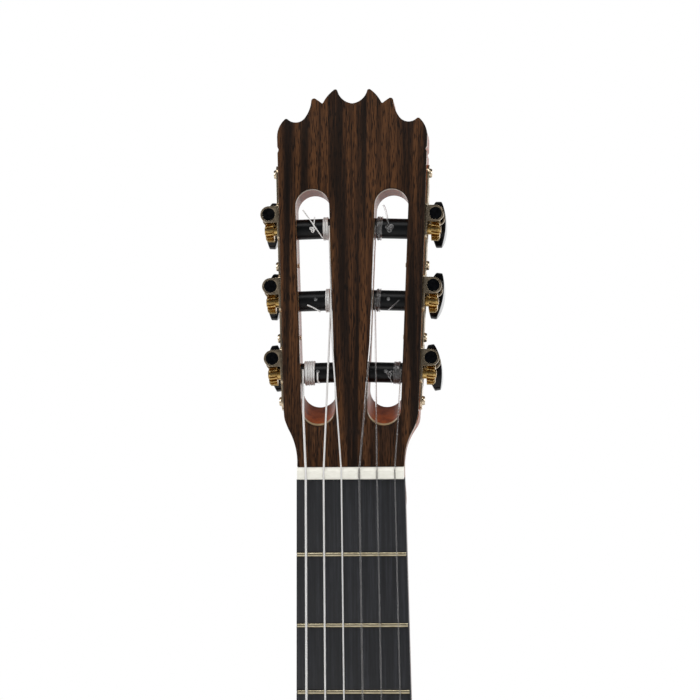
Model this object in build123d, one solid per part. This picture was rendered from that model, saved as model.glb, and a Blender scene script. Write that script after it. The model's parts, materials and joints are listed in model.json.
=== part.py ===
from build123d import *
import math
import os

# A classical guitar with a slotted head, built in millimetres.
# The frame: +Z runs up the neck to the head, -Y faces the player's audience
# and +X is the treble side. The origin lies on the fingerboard's playing
# surface, at its middle, where the fingerboard meets the nut.

# ---- Driving dimensions -------------------------------------------------

SCALE = 650.0                # nut to saddle
NUT_WIDTH = 52.0
BODY_WIDTH_OF_BOARD = 62.0   # fingerboard width where the body starts
BODY_Z = -SCALE / 2          # the body starts at the 12th fret
FRET_COUNT = 19
BOARD_THICKNESS = 6.0
BOARD_END_Z = -436.5

FRET_WIDTH = 2.2
FRET_HEIGHT = 1.0
TANG_WIDTH = 0.55
TANG_DEPTH = 1.5

NUT_INSET = 0.4              # the nut stops short of the board's edges
NUT_THICKNESS = 5.5
NUT_TOP_Y = -1.9
NUT_FLAT = 4.0               # flat top before the bevel to the head

NECK_DEPTH_NUT = 16.0        # without the fingerboard
NECK_DEPTH_BODY = 18.0
HANDLE_TOP_Z = -14.0         # the neck's round back starts to flare here

HEAD_TILT = 15.0
HEAD_FRONT_Y = 2.0           # the head's face just behind the nut
HEAD_THICKNESS = 20.0
FACEPLATE = 2.0
LIGHT_VENEER = 0.6
DARK_VENEER = 0.8
HEAD_SIDE_TAPER = 1.7        # each side leans out by this many degrees
HEAD_HALF_WIDTH = 32.8       # at SIDE_S along the head
SIDE_S = 37.0
HEAD_SHOULDER_S = 28.0
SCARF_ANGLE = 4.0            # the joint plane leans this far from the neck

SLOT_RADIUS = 8.2
SLOT_TAPER = 1.93
SLOT_MIDDLE = 16.12          # slot centre from the head's middle at SIDE_S
SLOT_TOP_S = 127.9
SLOT_BOTTOM_S = 27.6
SLOT_RAMP = 0.63             # the slot's lower end climbs this much per mm

ROLLER_S = (117.3, 82.0, 46.7)
ROLLER_DEPTH = 9.0
ROLLER_RADIUS = 4.92
ROLLER_BORE = 5.0
ROLLER_SEAT = 6.0            # depth of the blind bore in the centre web
SHAFT_RADIUS = 2.5
SHAFT_HOLE = 2.58
SPIGOT_RADIUS = 1.8

PLATE_THICKNESS = 1.2
PLATE_WIDTH = 14.0
PLATE_WAIST = 9.0
PLATE_LOW_S = 29.0
PLATE_HIGH_S = 149.0
EAR_THICKNESS = 1.5
EAR_RADIUS = 4.05
JOURNAL_RADIUS = 3.05
EAR_BORE = 3.13

TEETH = 18
WHEEL_TIP = 5.5
WHEEL_ROOT = 4.05
WHEEL_PITCH = 4.8
WHEEL_START = 3.1            # wheel face from the head's side
WHEEL_WIDTH = 4.0
WORM_DISTANCE = 6.85         # roller axis to worm axis
WORM_OUT = WHEEL_START + WHEEL_WIDTH / 2
WORM_CORE = 1.2
WORM_CREST = 2.6
WORM_TURNS = 5
STEM_RADIUS = 2.0
TOOTH_BASE_HALF = 0.43       # half a tooth's thickness at its root
TOOTH_TIP_HALF = 0.21
HUB_RADIUS = 2.6
WORM_LEAD = 2 * math.pi * WHEEL_PITCH / TEETH

BUTTON_LENGTH = 22.9
BUTTON_WIDTH = 15.0
BUTTON_THICKNESS = 7.5
BUTTON_END = 2.8
BUTTON_START = 26.5          # depth behind the head's face
BUTTON_BORE = 6.0
BUTTON_TURNS = (10.0, -5.6, 2.2, -5.0, -4.5, 4.5)    # how each stands at rest

# plate screws: place along the head
SCREW_S = (145.0, 99.5, 64.2, 33.4)

BODY_LENGTH = 490.0
LOWER_HALF = 183.0
WAIST_HALF = 117.5
UPPER_HALF = 140.0
LOWER_U = 345.0              # distances down the body from its top edge
WAIST_U = 190.0
UPPER_U = 104.0
LOWER_RADIUS = 140.0

TOP_Y = BOARD_THICKNESS      # the soundboard's outer face
TOP_THICKNESS = 2.4
RIB_THICKNESS = 2.2
BACK_THICKNESS = 2.6
BACK_RADIUS = 4500.0
BACK_DEEPEST_Y = 106.0
BACK_DEEPEST_U = 290.0
BINDING_WIDTH = 1.8
BINDING_HEIGHT = 6.0
PURFLING_WIDTH = 1.4
PURFLING_DEPTH = 1.4
LINING_WIDTH = 5.5
LINING_HEIGHT = 14.0
CORE_HALF = 6.0              # heel left between the two rib slots

BEHIND = 112.0               # a plane behind the whole body

HOLE_RADIUS = 42.5
HOLE_U = 155.0
ROSETTE_INNER = 45.0
ROSETTE_OUTER = 61.0
ROSETTE_DEPTH = 1.2

SADDLE_Z = -SCALE - 1.0
SADDLE_THICKNESS = 2.5
SADDLE_LENGTH = 80.0
SADDLE_TOP_Y = -6.85
BRIDGE_LENGTH = 186.0
BRIDGE_MIDDLE = 84.0
BRIDGE_TOP_Z = -644.0
BRIDGE_END_Z = -671.5
TIE_TOP_Y = -2.4
TIE_START_Z = -659.0
TIE_HOLE_Y = 1.0
TRIM_WIDTH = 2.4
TRIM_HEIGHT = 1.0

STRING_RADII = (0.355, 0.41, 0.51, 0.37, 0.45, 0.55)
STRING_AT_NUT = (21.35, 12.8, 4.27, -4.27, -12.8, -21.35)
STRING_AT_SADDLE = (28.75, 17.25, 5.75, -5.75, -17.25, -28.75)
STRING_ROLLER = (2, 1, 0, 0, 1, 2)          # index into ROLLER_S
STRING_AT_ROLLER = (23.9, 11.2, 11.3, -11.15, -10.05, -23.6)
WINDING_TURNS = (5, 3, 3, 4, 3, 5)
WINDING_OUTWARD = (-1, 1, 1, 1, 1, -1)      # which way the turns are laid
RUN_GAP = 0.03               # hair's breadth between touching round parts
WINDING_GAP = 0.15           # between an arriving string and its own turns

SINE = math.sin(math.radians(HEAD_TILT))
COSINE = math.cos(math.radians(HEAD_TILT))
ALONG = Vector(0, SINE, COSINE)
FRONT = Vector(0, -COSINE, SINE)
HEAD_ORIGIN = Vector(0, HEAD_FRONT_Y, NUT_THICKNESS)
CORE_DEPTH = FACEPLATE + LIGHT_VENEER + DARK_VENEER
SIDE_LEAN = math.radians(HEAD_SIDE_TAPER)
UPWARD = (Align.CENTER, Align.CENTER, Align.MIN)


# ---- Helpers ------------------------------------------------------------

def save(name, shape):
    """Write one node, as a group where it holds several solids."""
    solids = shape.solids()
    result = solids[0] if len(solids) == 1 else Compound(children=list(solids))
    result.label = name
    export_step(result, "parts/" + name + ".step")


def half_board(z):
    """Half the fingerboard's width at a height on the neck."""
    spread = (BODY_WIDTH_OF_BOARD - NUT_WIDTH) / 2
    return NUT_WIDTH / 2 + spread * z / BODY_Z


def fret_z(number):
    return -SCALE * (1 - 2 ** (-number / 12))


def head_point(x, s, depth):
    """A point given across the head, along it and below its face."""
    return HEAD_ORIGIN + Vector(x, 0, 0) + ALONG * s - FRONT * depth


def head_plane(s=0.0, depth=0.0):
    """Local x across the head, local y along it, local z out of its face."""
    return Plane(head_point(0, s, depth), x_dir=(1, 0, 0), z_dir=FRONT)


def side_half_width(s):
    return HEAD_HALF_WIDTH + (s - SIDE_S) * math.tan(SIDE_LEAN)


def slot_middle(s):
    return SLOT_MIDDLE + (s - SIDE_S) * math.tan(math.radians(SLOT_TAPER))


def both_sides(shape):
    return [shape, mirror(shape, about=Plane.YZ)]


def block(x0, x1, y0, y1, z0, z1):
    size = (x1 - x0, y1 - y0, z1 - z0)
    middle = ((x0 + x1) / 2, (y0 + y1) / 2, (z0 + z1) / 2)
    return Pos(*middle) * Box(*size)


def round_rod(start, end, radius):
    """A cylinder from one point to another."""
    start = Vector(*start)
    axis = Vector(*end) - start
    base = Plane(start, z_dir=axis)
    return extrude(base * Circle(radius), amount=axis.length)


# ---- Neck and head ------------------------------------------------------

def handle_section(plane, half, depth, corner_x, corner_y):
    """A flat front with two rounded back corners, as one face."""
    low = depth - corner_y
    inner = half - corner_x
    right = EllipticalCenterArc((inner, low), corner_x, corner_y, 0, arc_size=90)
    left = EllipticalCenterArc((-inner, low), corner_x, corner_y, 90, arc_size=90)
    edges = [
        Line((-half, 0), (half, 0)),
        Line((half, 0), (half, low)),
        right,
        Line((inner, depth), (-inner, depth)),
        left,
        Line((-half, low), (-half, 0)),
    ]
    return plane * make_face(edges)


def neck_section(z):
    share = z / BODY_Z
    depth = NECK_DEPTH_NUT + (NECK_DEPTH_BODY - NECK_DEPTH_NUT) * share
    half = half_board(z)
    plane = Plane((0, BOARD_THICKNESS, z), x_dir=(1, 0, 0), z_dir=(0, 0, 1))
    return handle_section(plane, half, depth, half - 1.0, depth - 1.5)


def shoulder_section(s, half, corner_x, corner_y):
    plane = Plane(head_point(0, s, CORE_DEPTH), x_dir=(1, 0, 0), z_dir=ALONG)
    depth = HEAD_THICKNESS - CORE_DEPTH
    return handle_section(plane, half, depth, corner_x, corner_y)


def heel_section(y, half, reach):
    """Half an ellipse pointing up the neck, with a short straight tail."""
    plane = Plane((0, y, BODY_Z), x_dir=(1, 0, 0), z_dir=(0, -1, 0))
    tail = 4.0
    edges = [
        EllipticalCenterArc((0, 0), half, reach, 0, arc_size=180),
        Line((-half, 0), (-half, -tail)),
        Line((-half, -tail), (half, -tail)),
        Line((half, -tail), (half, 0)),
    ]
    return plane * make_face(edges)


def heel_flare():
    sections = [
        heel_section(BOARD_THICKNESS, 31.0, 78.0),
        heel_section(22.0, 26.0, 58.0),
        heel_section(40.0, 20.5, 34.0),
        heel_section(60.0, 16.0, 22.5),
        heel_section(80.0, 12.8, 16.5),
        heel_section(97.0, 11.2, 14.0),
    ]
    return loft(sections)


def head_outline():
    """The head's front view: flared shoulders, straight sides, carved crest."""
    notch_s = 155.6
    notch = 1.5
    low = side_half_width(HEAD_SHOULDER_S)
    under = (side_half_width(notch_s - notch), notch_s - notch)
    nick = (side_half_width(notch_s) - 0.7, notch_s)
    over = (side_half_width(notch_s + notch), notch_s + notch)
    side_top = (side_half_width(162.0), 162.0)
    right = [
        Line((0, -2.0), (25.8, -2.0)),
        Line((25.8, -2.0), (25.8, 1.0)),
        ThreePointArc((25.8, 1.0), (26.9, 10.7), (29.3, 17.0)),
        ThreePointArc((29.3, 17.0), (31.35, 21.6), (low, HEAD_SHOULDER_S)),
        Line((low, HEAD_SHOULDER_S), under),
        Line(under, nick),
        Line(nick, over),
        Line(over, side_top),
        ThreePointArc(side_top, (35.6, 166.6), (32.9, 170.5)),
        ThreePointArc((32.9, 170.5), (32.2, 170.85), (31.4, 170.6)),
        ThreePointArc((31.4, 170.6), (27.3, 169.0), (22.7, 171.7)),
        ThreePointArc((22.7, 171.7), (20.85, 175.3), (19.95, 179.4)),
        ThreePointArc((19.95, 179.4), (19.2, 180.7), (17.9, 180.65)),
        ThreePointArc((17.9, 180.65), (16.1, 179.4), (14.45, 178.1)),
        ThreePointArc((14.45, 178.1), (12.2, 181.8), (8.9, 185.0)),
        ThreePointArc((8.9, 185.0), (8.0, 185.2), (7.3, 184.7)),
        ThreePointArc((7.3, 184.7), (4.6, 180.2), (0, 178.2)),
    ]
    left = [mirror(edge, about=Plane.YZ) for edge in right]
    return make_face(right + left)


def slot_face(side, depth):
    """One slot's outline on a plane at the given depth below the face."""
    bottom_s = SLOT_BOTTOM_S + SLOT_RAMP * depth
    lean = math.radians(SLOT_TAPER)
    across = Vector(math.cos(lean), -math.sin(lean)) * SLOT_RADIUS
    up = Vector(math.sin(lean), math.cos(lean)) * SLOT_RADIUS
    top = Vector(slot_middle(SLOT_TOP_S), SLOT_TOP_S)
    low = Vector(slot_middle(bottom_s), bottom_s)
    edges = [
        Line(low + across, top + across),
        ThreePointArc(top + across, top + up, top - across),
        Line(top - across, low - across),
        ThreePointArc(low - across, low - up, low + across),
    ]
    face = make_face(edges)
    if side < 0:
        face = mirror(face, about=Plane.YZ)
    return head_plane(depth=depth) * face


def head_slots():
    over = 1.0
    low = HEAD_THICKNESS + over
    return [loft([slot_face(side, -over), slot_face(side, low)]) for side in (1, -1)]


def head_layer(outline, slots, depth, thickness):
    layer = extrude(head_plane(depth=depth) * outline, amount=-thickness)
    nut_room = block(-60, 60, -40, 40, -40, NUT_THICKNESS)
    layer = layer - nut_room
    for slot in slots:
        layer = layer - slot
    return layer


def tuner_plane(index):
    """Local x up the head's side, y to the front, z out of the treble side."""
    s = ROLLER_S[index]
    up = Vector(math.sin(SIDE_LEAN), 0, 0) + ALONG * math.cos(SIDE_LEAN)
    out = Vector(math.cos(SIDE_LEAN), 0, 0) - ALONG * math.sin(SIDE_LEAN)
    return Plane(head_point(side_half_width(s), s, ROLLER_DEPTH), x_dir=up, z_dir=out)


def roller_inner_end(index):
    """How far the roller's seat lies inside the head's side."""
    s = ROLLER_S[index]
    seat = slot_middle(s) - SLOT_RADIUS - ROLLER_SEAT
    return (seat - side_half_width(s)) / math.cos(SIDE_LEAN)


def roller_bores():
    bores = []
    for index in range(len(ROLLER_S)):
        inner = roller_inner_end(index)
        bore = Pos(0, 0, inner) * Cylinder(
            ROLLER_BORE, 1.0 - inner, align=UPWARD)
        bores += both_sides(tuner_plane(index) * bore)
    return bores


def neck_and_head(slots, screws):
    """The shaft and the head are two boards joined by a long scarf."""
    shaft = loft([neck_section(BODY_Z - 4.0), neck_section(-200.0), neck_section(HANDLE_TOP_Z)])
    shaft = shaft + (heel_flare() - block(-60, 60, 22.0, 140, -400, 0))
    handle = loft([
        neck_section(HANDLE_TOP_Z),
        neck_section(-4.0),
        shoulder_section(8.0, 26.35, 24.0, 13.5),
        shoulder_section(14.0, 27.9, 21.0, 12.0),
        shoulder_section(20.0, 30.7, 12.0, 8.0),
        shoulder_section(HEAD_SHOULDER_S, side_half_width(HEAD_SHOULDER_S), 2.0, 2.0),
    ])
    thickness = HEAD_THICKNESS - CORE_DEPTH
    blank = extrude(head_plane(depth=CORE_DEPTH) * head_outline(), amount=-thickness)
    below = head_plane(s=HEAD_SHOULDER_S - 100.0) * Box(200, 200, 100)
    blank = (blank - below) + handle
    blank = blank - block(-60, 60, -40, BOARD_THICKNESS, -60, NUT_THICKNESS)
    blank = blank - head_plane(s=90.0, depth=CORE_DEPTH) * Pos(0, 0, 20) * Box(200, 200, 40)
    for cutter in slots + roller_bores() + screws:
        blank = blank - cutter
    joint_y = BOARD_THICKNESS + NECK_DEPTH_NUT + 0.1
    ahead = Pos(0, -100, 50) * Box(200, 200, 400)
    ahead = Pos(0, joint_y, HANDLE_TOP_Z) * Rot(SCARF_ANGLE, 0, 0) * ahead
    shaft = shaft + (blank & ahead)
    head = blank - ahead
    return shaft, head


def nut_block():
    """A bone bar with a bevel to the head and a groove for each string."""
    profile = Polyline(
        (BOARD_THICKNESS, 0),
        (NUT_TOP_Y + 0.4, 0),
        (NUT_TOP_Y, 0.5),
        (NUT_TOP_Y, NUT_FLAT),
        (-0.3, NUT_THICKNESS),
        (BOARD_THICKNESS, NUT_THICKNESS),
        close=True,
    )
    half = NUT_WIDTH / 2 - NUT_INSET
    plane = Plane((-half, 0, 0), x_dir=(0, 1, 0), z_dir=(1, 0, 0))
    nut = extrude(plane * make_face(profile), amount=2 * half)
    for number in range(1, 7):
        nut = nut - string_channel(number)
    return nut


def fingerboard():
    rim = Polyline(
        (-NUT_WIDTH / 2, 0),
        (NUT_WIDTH / 2, 0),
        (half_board(BOARD_END_Z), BOARD_END_Z),
        (-half_board(BOARD_END_Z), BOARD_END_Z),
        close=True,
    )
    plane = Plane((0, 0, 0), x_dir=(1, 0, 0), z_dir=(0, -1, 0))
    board = extrude(plane * make_face(rim), amount=-BOARD_THICKNESS)
    for number in range(1, FRET_COUNT + 1):
        z = fret_z(number)
        board = board - block(-40, 40, -1, TANG_DEPTH, z - TANG_WIDTH / 2, z + TANG_WIDTH / 2)
    return board


def fret(number):
    """A crown over a tang, as long as the board is wide there."""
    z = fret_z(number)
    crown = FRET_WIDTH / 2
    tang = TANG_WIDTH / 2
    edges = [
        ThreePointArc((0, -crown), (-FRET_HEIGHT, 0), (0, crown)),
        Line((0, crown), (0, tang)),
        Polyline((0, tang), (TANG_DEPTH, tang), (TANG_DEPTH, -tang), (0, -tang)),
        Line((0, -tang), (0, -crown)),
    ]
    half = half_board(z) - 0.15
    plane = Plane((-half, 0, z), x_dir=(0, 1, 0), z_dir=(1, 0, 0))
    return extrude(plane * make_face(edges), amount=2 * half)


# ---- Tuning machines ----------------------------------------------------

def on_side(shape, side):
    return shape if side > 0 else mirror(shape, about=Plane.YZ)


def roller(index):
    """Barrel across the slot, shaft through the plate, spigot for the wheel."""
    inner = roller_inner_end(index)
    barrel = Pos(0, 0, inner + 0.3) * Cylinder(ROLLER_RADIUS, -inner - 0.4, align=UPWARD)
    shaft = Pos(0, 0, -1.0) * Cylinder(SHAFT_RADIUS, PLATE_THICKNESS + 1.1, align=UPWARD)
    spigot = Cylinder(SPIGOT_RADIUS, WHEEL_START + WHEEL_WIDTH - 0.1, align=UPWARD)
    screw_hole = Pos(0, 0, WHEEL_START) * Cylinder(1.0, WHEEL_WIDTH, align=UPWARD)
    hole_at = (slot_middle(ROLLER_S[index]) - side_half_width(ROLLER_S[index])) / math.cos(SIDE_LEAN)
    string_hole = Pos(0, 0, hole_at) * Rot(90, 0, 0) * Cylinder(0.9, 3 * ROLLER_RADIUS)
    return barrel + shaft + spigot - screw_hole - string_hole


def wheel_face(offset):
    """The toothed outline at one height, turned to follow the worm's lead."""
    twist = WORM_LEAD / (2 * math.pi * (WORM_DISTANCE - WHEEL_PITCH)) / WHEEL_PITCH * offset
    root_half = TOOTH_BASE_HALF / WHEEL_ROOT
    tip_half = TOOTH_TIP_HALF / WHEEL_TIP
    points = []
    for tooth in range(TEETH):
        middle = 2 * math.pi * tooth / TEETH + twist
        corners = (
            (WHEEL_ROOT, -root_half),
            (WHEEL_TIP, -tip_half),
            (WHEEL_TIP, tip_half),
            (WHEEL_ROOT, root_half),
        )
        for radius, turn in corners:
            points.append((radius * math.cos(middle + turn), radius * math.sin(middle + turn)))
    return Pos(0, 0, WORM_OUT + offset) * make_face(Polyline(*points, close=True))


def worm_wheel():
    """Toothed brass wheel with a hub, held on the spigot by its screw."""
    half = WHEEL_WIDTH / 2
    wheel = loft([wheel_face(-half), wheel_face(half)], ruled=True)
    outside = WORM_OUT + half
    cone = Pos(0, 0, outside - 1.0) * Cone(WHEEL_TIP + 0.1, WHEEL_TIP - 1.0, 1.0, align=UPWARD)
    rim = Cylinder(WHEEL_TIP + 0.1, outside - 1.0, align=UPWARD) + cone
    wheel = wheel & rim
    hub = Pos(0, 0, PLATE_THICKNESS + 0.1) * Cylinder(HUB_RADIUS, WHEEL_START, align=UPWARD)
    wheel = wheel + hub - Cylinder(SPIGOT_RADIUS, 20)
    head = Pos(0, 0, outside) * Cylinder(1.9, 0.5, align=UPWARD)
    head = head - Pos(0, 0, outside + 0.5) * Box(6, 0.5, 0.6)
    shank = Pos(0, 0, outside - 3.5) * Cylinder(1.0, 3.5, align=UPWARD)
    return Compound(children=[wheel.solid(), (head + shank).solid()])


def worm_plane():
    """Within a tuner's own frame: z along the worm to the head's front."""
    return Plane((WORM_DISTANCE, 0, WORM_OUT), x_dir=(-1, 0, 0), z_dir=(0, 1, 0))


def worm_shaft():
    """One screw thread between two journals, and the stem to the button."""
    front = ROLLER_DEPTH - 2.0
    rear = ROLLER_DEPTH - 2.0 - PLATE_WIDTH
    stem_end = ROLLER_DEPTH - BUTTON_START - BUTTON_BORE
    core = Pos(0, 0, rear) * Cylinder(WORM_CORE, PLATE_WIDTH, align=UPWARD)
    journals = [
        Pos(0, 0, front - EAR_THICKNESS) * Cylinder(JOURNAL_RADIUS, EAR_THICKNESS, align=UPWARD),
        Pos(0, 0, rear) * Cylinder(JOURNAL_RADIUS, EAR_THICKNESS, align=UPWARD),
        Pos(0, 0, rear - 3.0) * Cone(STEM_RADIUS, 2.9, 3.0, align=UPWARD),
        Pos(0, 0, stem_end) * Cylinder(STEM_RADIUS, rear - stem_end, align=UPWARD),
    ]
    shape = core
    for piece in journals:
        shape = shape + piece
    start = -WORM_TURNS * WORM_LEAD / 2
    base = WORM_CORE - 0.1
    path = Helix(WORM_LEAD, WORM_TURNS * WORM_LEAD, base, center=(0, 0, start))
    tooth = make_face(Polyline(
        (base, -TOOTH_BASE_HALF),
        (WORM_CREST, -TOOTH_TIP_HALF),
        (WORM_CREST, TOOTH_TIP_HALF),
        (base, TOOTH_BASE_HALF),
        close=True,
    ))
    tooth = Plane((0, 0, start), x_dir=(1, 0, 0), z_dir=(0, -1, 0)) * tooth
    thread = sweep(tooth, path=path, is_frenet=True)
    shape = shape + thread
    return worm_plane() * shape


def button(turn):
    """A flattened oval knob, bored for the stem."""
    half = BUTTON_THICKNESS / 2
    end = BUTTON_END / 2
    long_half = BUTTON_LENGTH / 2
    edges = [
        ThreePointArc((-long_half, -end), (0, -half), (long_half, -end)),
        Line((long_half, -end), (long_half, end)),
        ThreePointArc((long_half, end), (0, half), (-long_half, end)),
        Line((-long_half, end), (-long_half, -end)),
    ]
    start = ROLLER_DEPTH - BUTTON_START
    slab = Pos(0, 0, start) * extrude(make_face(edges), amount=-BUTTON_WIDTH)
    centre = start - BUTTON_WIDTH / 2
    oval_plane = Plane((0, -10, centre), x_dir=(1, 0, 0), z_dir=(0, 1, 0))
    oval = extrude(oval_plane * Ellipse(long_half, BUTTON_WIDTH / 2), amount=20)
    knob = slab & oval
    knob = fillet(knob.edges(), 0.6)
    bore = Pos(0, 0, start - BUTTON_BORE) * Cylinder(STEM_RADIUS, BUTTON_BORE + 2.0, align=UPWARD)
    return worm_plane() * Rot(0, 0, turn) * (knob - bore)


def plate_screws():
    """Round-headed wood screws, placed in the middle roller's frame."""
    screws = []
    for s in SCREW_S:
        along = (s - ROLLER_S[1]) / math.cos(SIDE_LEAN)
        dome = Pos(0, 0, PLATE_THICKNESS) * (Sphere(2.3) & Cylinder(2.3, 1.3, align=UPWARD))
        dome = dome - Pos(0, 0, PLATE_THICKNESS + 1.3) * Box(5, 0.5, 1.0)
        shank = Pos(0, 0, -9.0) * Cylinder(1.1, 9.0 + PLATE_THICKNESS + 0.2, align=UPWARD)
        screws.append(tuner_plane(1) * Pos(along, 0, 0) * (dome + shank))
    return screws


def tuner_plate():
    """One stamped strip with three pairs of ears folded out of it."""
    low = (PLATE_LOW_S - ROLLER_S[1]) / math.cos(SIDE_LEAN)
    high = (PLATE_HIGH_S - ROLLER_S[1]) / math.cos(SIDE_LEAN)
    strip = Pos((low + high) / 2, 0) * SlotOverall(high - low, PLATE_WAIST)
    spots = [(s - ROLLER_S[1]) / math.cos(SIDE_LEAN) for s in ROLLER_S]
    for spot in spots:
        strip = strip + Pos(spot + WORM_DISTANCE / 2, 0) * RectangleRounded(18.0, PLATE_WIDTH, 2.0)
    for spot in spots:
        strip = strip - Pos(spot, 0) * Circle(SHAFT_HOLE)
    for s in SCREW_S:
        along = (s - ROLLER_S[1]) / math.cos(SIDE_LEAN)
        strip = strip - Pos(along, 0) * Circle(1.1)
    for spot in spots[:2]:
        strip = strip - Pos(spot - 14.3, 0) * SlotOverall(12.0, 3.2)
    strip = strip - Pos(spots[0] + 19.0, 0) * SlotOverall(7.0, 3.2)
    plate = extrude(strip, amount=PLATE_THICKNESS)
    front = ROLLER_DEPTH - 2.0
    for spot in spots:
        for y in (front, front - PLATE_WIDTH + EAR_THICKNESS):
            plane = Plane((spot + WORM_DISTANCE, y, WORM_OUT), x_dir=(1, 0, 0), z_dir=(0, -1, 0))
            tab = Pos(0, -WORM_OUT / 2) * Rectangle(2 * EAR_RADIUS, WORM_OUT)
            ear = Circle(EAR_RADIUS) + tab
            plate = plate + extrude(plane * ear, amount=EAR_THICKNESS)
        centre = (spot + WORM_DISTANCE, 0, WORM_OUT)
        plate = plate - Pos(*centre) * Rot(90, 0, 0) * Cylinder(EAR_BORE, 40)
    return tuner_plane(1) * plate


# ---- Strings ------------------------------------------------------------

def nut_rear(number):
    return Vector(STRING_AT_NUT[number - 1], NUT_TOP_Y, NUT_FLAT)


def nut_rear_on_head():
    """The string's last point on the nut, along the head and above its face."""
    drop = Vector(0, NUT_TOP_Y, NUT_FLAT) - HEAD_ORIGIN
    return drop.dot(ALONG), drop.dot(FRONT)


def roller_end(number):
    """Where a string leaves the nut's line, bends and meets its roller."""
    radius = STRING_RADII[number - 1]
    x = STRING_AT_ROLLER[number - 1]
    index = STRING_ROLLER[number - 1]
    if index == 2:
        bends = [(math.copysign(22.85, x), 25.0, radius + 0.12)]
    elif index == 0:
        bends = [(math.copysign(8.84 + radius, x), 61.0, radius + 0.1)]
    else:
        bends = []
    start = (bends[-1][1], bends[-1][2]) if bends else nut_rear_on_head()
    centre_s = ROLLER_S[index] - (abs(x) - side_half_width(ROLLER_S[index])) * math.tan(SIDE_LEAN)
    reach = Vector(centre_s - start[0], -ROLLER_DEPTH - start[1])
    ring = ROLLER_RADIUS + radius + RUN_GAP
    heading = math.atan2(reach.Y, reach.X) + math.asin(ring / reach.length)
    end_s = centre_s - ring * math.sin(heading)
    end_out = -ROLLER_DEPTH + ring * math.cos(heading)
    return [head_point(a, s, -out) for a, s, out in bends], head_point(x, end_s, -end_out)


def saddle_corner(number):
    """The corner of two straights that touch the saddle's round top."""
    radius = STRING_RADII[number - 1]
    ring = SADDLE_THICKNESS / 2 + radius + RUN_GAP
    centre = Vector(STRING_AT_SADDLE[number - 1], SADDLE_TOP_Y + SADDLE_THICKNESS / 2, SADDLE_Z)
    hole = Vector(STRING_AT_SADDLE[number - 1], TIE_HOLE_Y, TIE_START_Z)
    arriving = (centre - Vector(0, ring, 0) - nut_rear(number)).normalized()
    leaving = (hole - centre + Vector(0, ring, 0)).normalized()
    turn = math.radians(arriving.get_angle(leaving))
    outward = (arriving - leaving).normalized()
    return centre + outward * (ring / math.cos(turn / 2)), ring


def string_route(number):
    """Corner points and bend radii, from the roller to the tie block."""
    radius = STRING_RADII[number - 1]
    x = STRING_AT_SADDLE[number - 1]
    bends, start = roller_end(number)
    corner, ring = saddle_corner(number)
    over_y = TIE_TOP_Y - TRIM_HEIGHT - radius - 0.1
    behind_z = BRIDGE_END_Z - radius - 0.9
    points = [start] + bends + [
        nut_rear(number),
        corner,
        Vector(x, TIE_HOLE_Y, TIE_START_Z),
        Vector(x, TIE_HOLE_Y, behind_z),
        Vector(x + 0.9, over_y, behind_z),
        Vector(x + 1.4, over_y, TIE_START_Z + 1.6),
    ]
    radii = [14.0 for _ in bends] + [8.0, ring, 2.0, 1.3, 1.3]
    return points, radii


def tube(points, radii, radius):
    path = FilletPolyline(*points, radius=radii)
    start = Plane(points[0], z_dir=points[1] - points[0])
    return sweep(start * Circle(radius), path=path)


def string_channel(number):
    """The groove that a string rests in, as it crosses the nut."""
    points, radii = string_route(number)
    bend = points.index(nut_rear(number))
    ahead = points[bend - 1]
    middle = points[bend]
    behind = middle + (points[bend + 1] - middle).normalized() * 12.0
    return tube([ahead, middle, behind], [radii[bend - 1]], STRING_RADII[number - 1] + RUN_GAP)


def guitar_string(number):
    points, radii = string_route(number)
    return tube(points, radii, STRING_RADII[number - 1])


def winding(number):
    """The turns already on the roller, as one sleeve."""
    index = STRING_ROLLER[number - 1]
    radius = STRING_RADII[number - 1]
    x = abs(STRING_AT_ROLLER[number - 1])
    way = WINDING_OUTWARD[number - 1]
    first = x + way * (radius + WINDING_GAP)
    last = first + way * 2 * radius * WINDING_TURNS[number - 1]
    edge = side_half_width(ROLLER_S[index])
    low = (min(first, last) - edge) / math.cos(SIDE_LEAN)
    sleeve = Cylinder(ROLLER_RADIUS + 2 * radius, abs(last - first), align=UPWARD)
    sleeve = sleeve - Cylinder(ROLLER_RADIUS, abs(last - first), align=UPWARD)
    side = 1 if STRING_AT_ROLLER[number - 1] > 0 else -1
    return on_side(tuner_plane(index) * Pos(0, 0, low) * sleeve, side)


# ---- Body ---------------------------------------------------------------

def body_plane(y):
    """Local x across, local y down the body, local z to the back."""
    return Plane((0, y, BODY_Z), x_dir=(1, 0, 0), z_dir=(0, 1, 0))


def bout_circles():
    """Centre and radius of the outline's five arcs, each tangent to the next."""
    low = Vector(LOWER_HALF - LOWER_RADIUS, LOWER_U)
    deep = BODY_LENGTH - LOWER_U
    gap = deep - LOWER_RADIUS
    tail_radius = (low.X ** 2 + deep ** 2 - LOWER_RADIUS ** 2) / (2 * gap)
    tail = Vector(0, BODY_LENGTH - tail_radius)
    b = WAIST_HALF - low.X
    g = LOWER_U - WAIST_U
    waist_radius = (b * b + g * g - LOWER_RADIUS ** 2) / (2 * (LOWER_RADIUS - b))
    waist = Vector(WAIST_HALF + waist_radius, WAIST_U)
    a = waist.X - UPPER_HALF
    h = WAIST_U - UPPER_U
    upper_radius = (a * a + h * h - waist_radius ** 2) / (2 * (waist_radius - a))
    upper = Vector(UPPER_HALF - upper_radius, UPPER_U)
    top_radius = (upper.X ** 2 + UPPER_U ** 2 - upper_radius ** 2) / (2 * (UPPER_U - upper_radius))
    top = Vector(0, top_radius)
    return (
        (top, top_radius, 1),
        (upper, upper_radius, 1),
        (waist, waist_radius, -1),
        (low, LOWER_RADIUS, 1),
        (tail, tail_radius, 1),
    )


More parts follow.
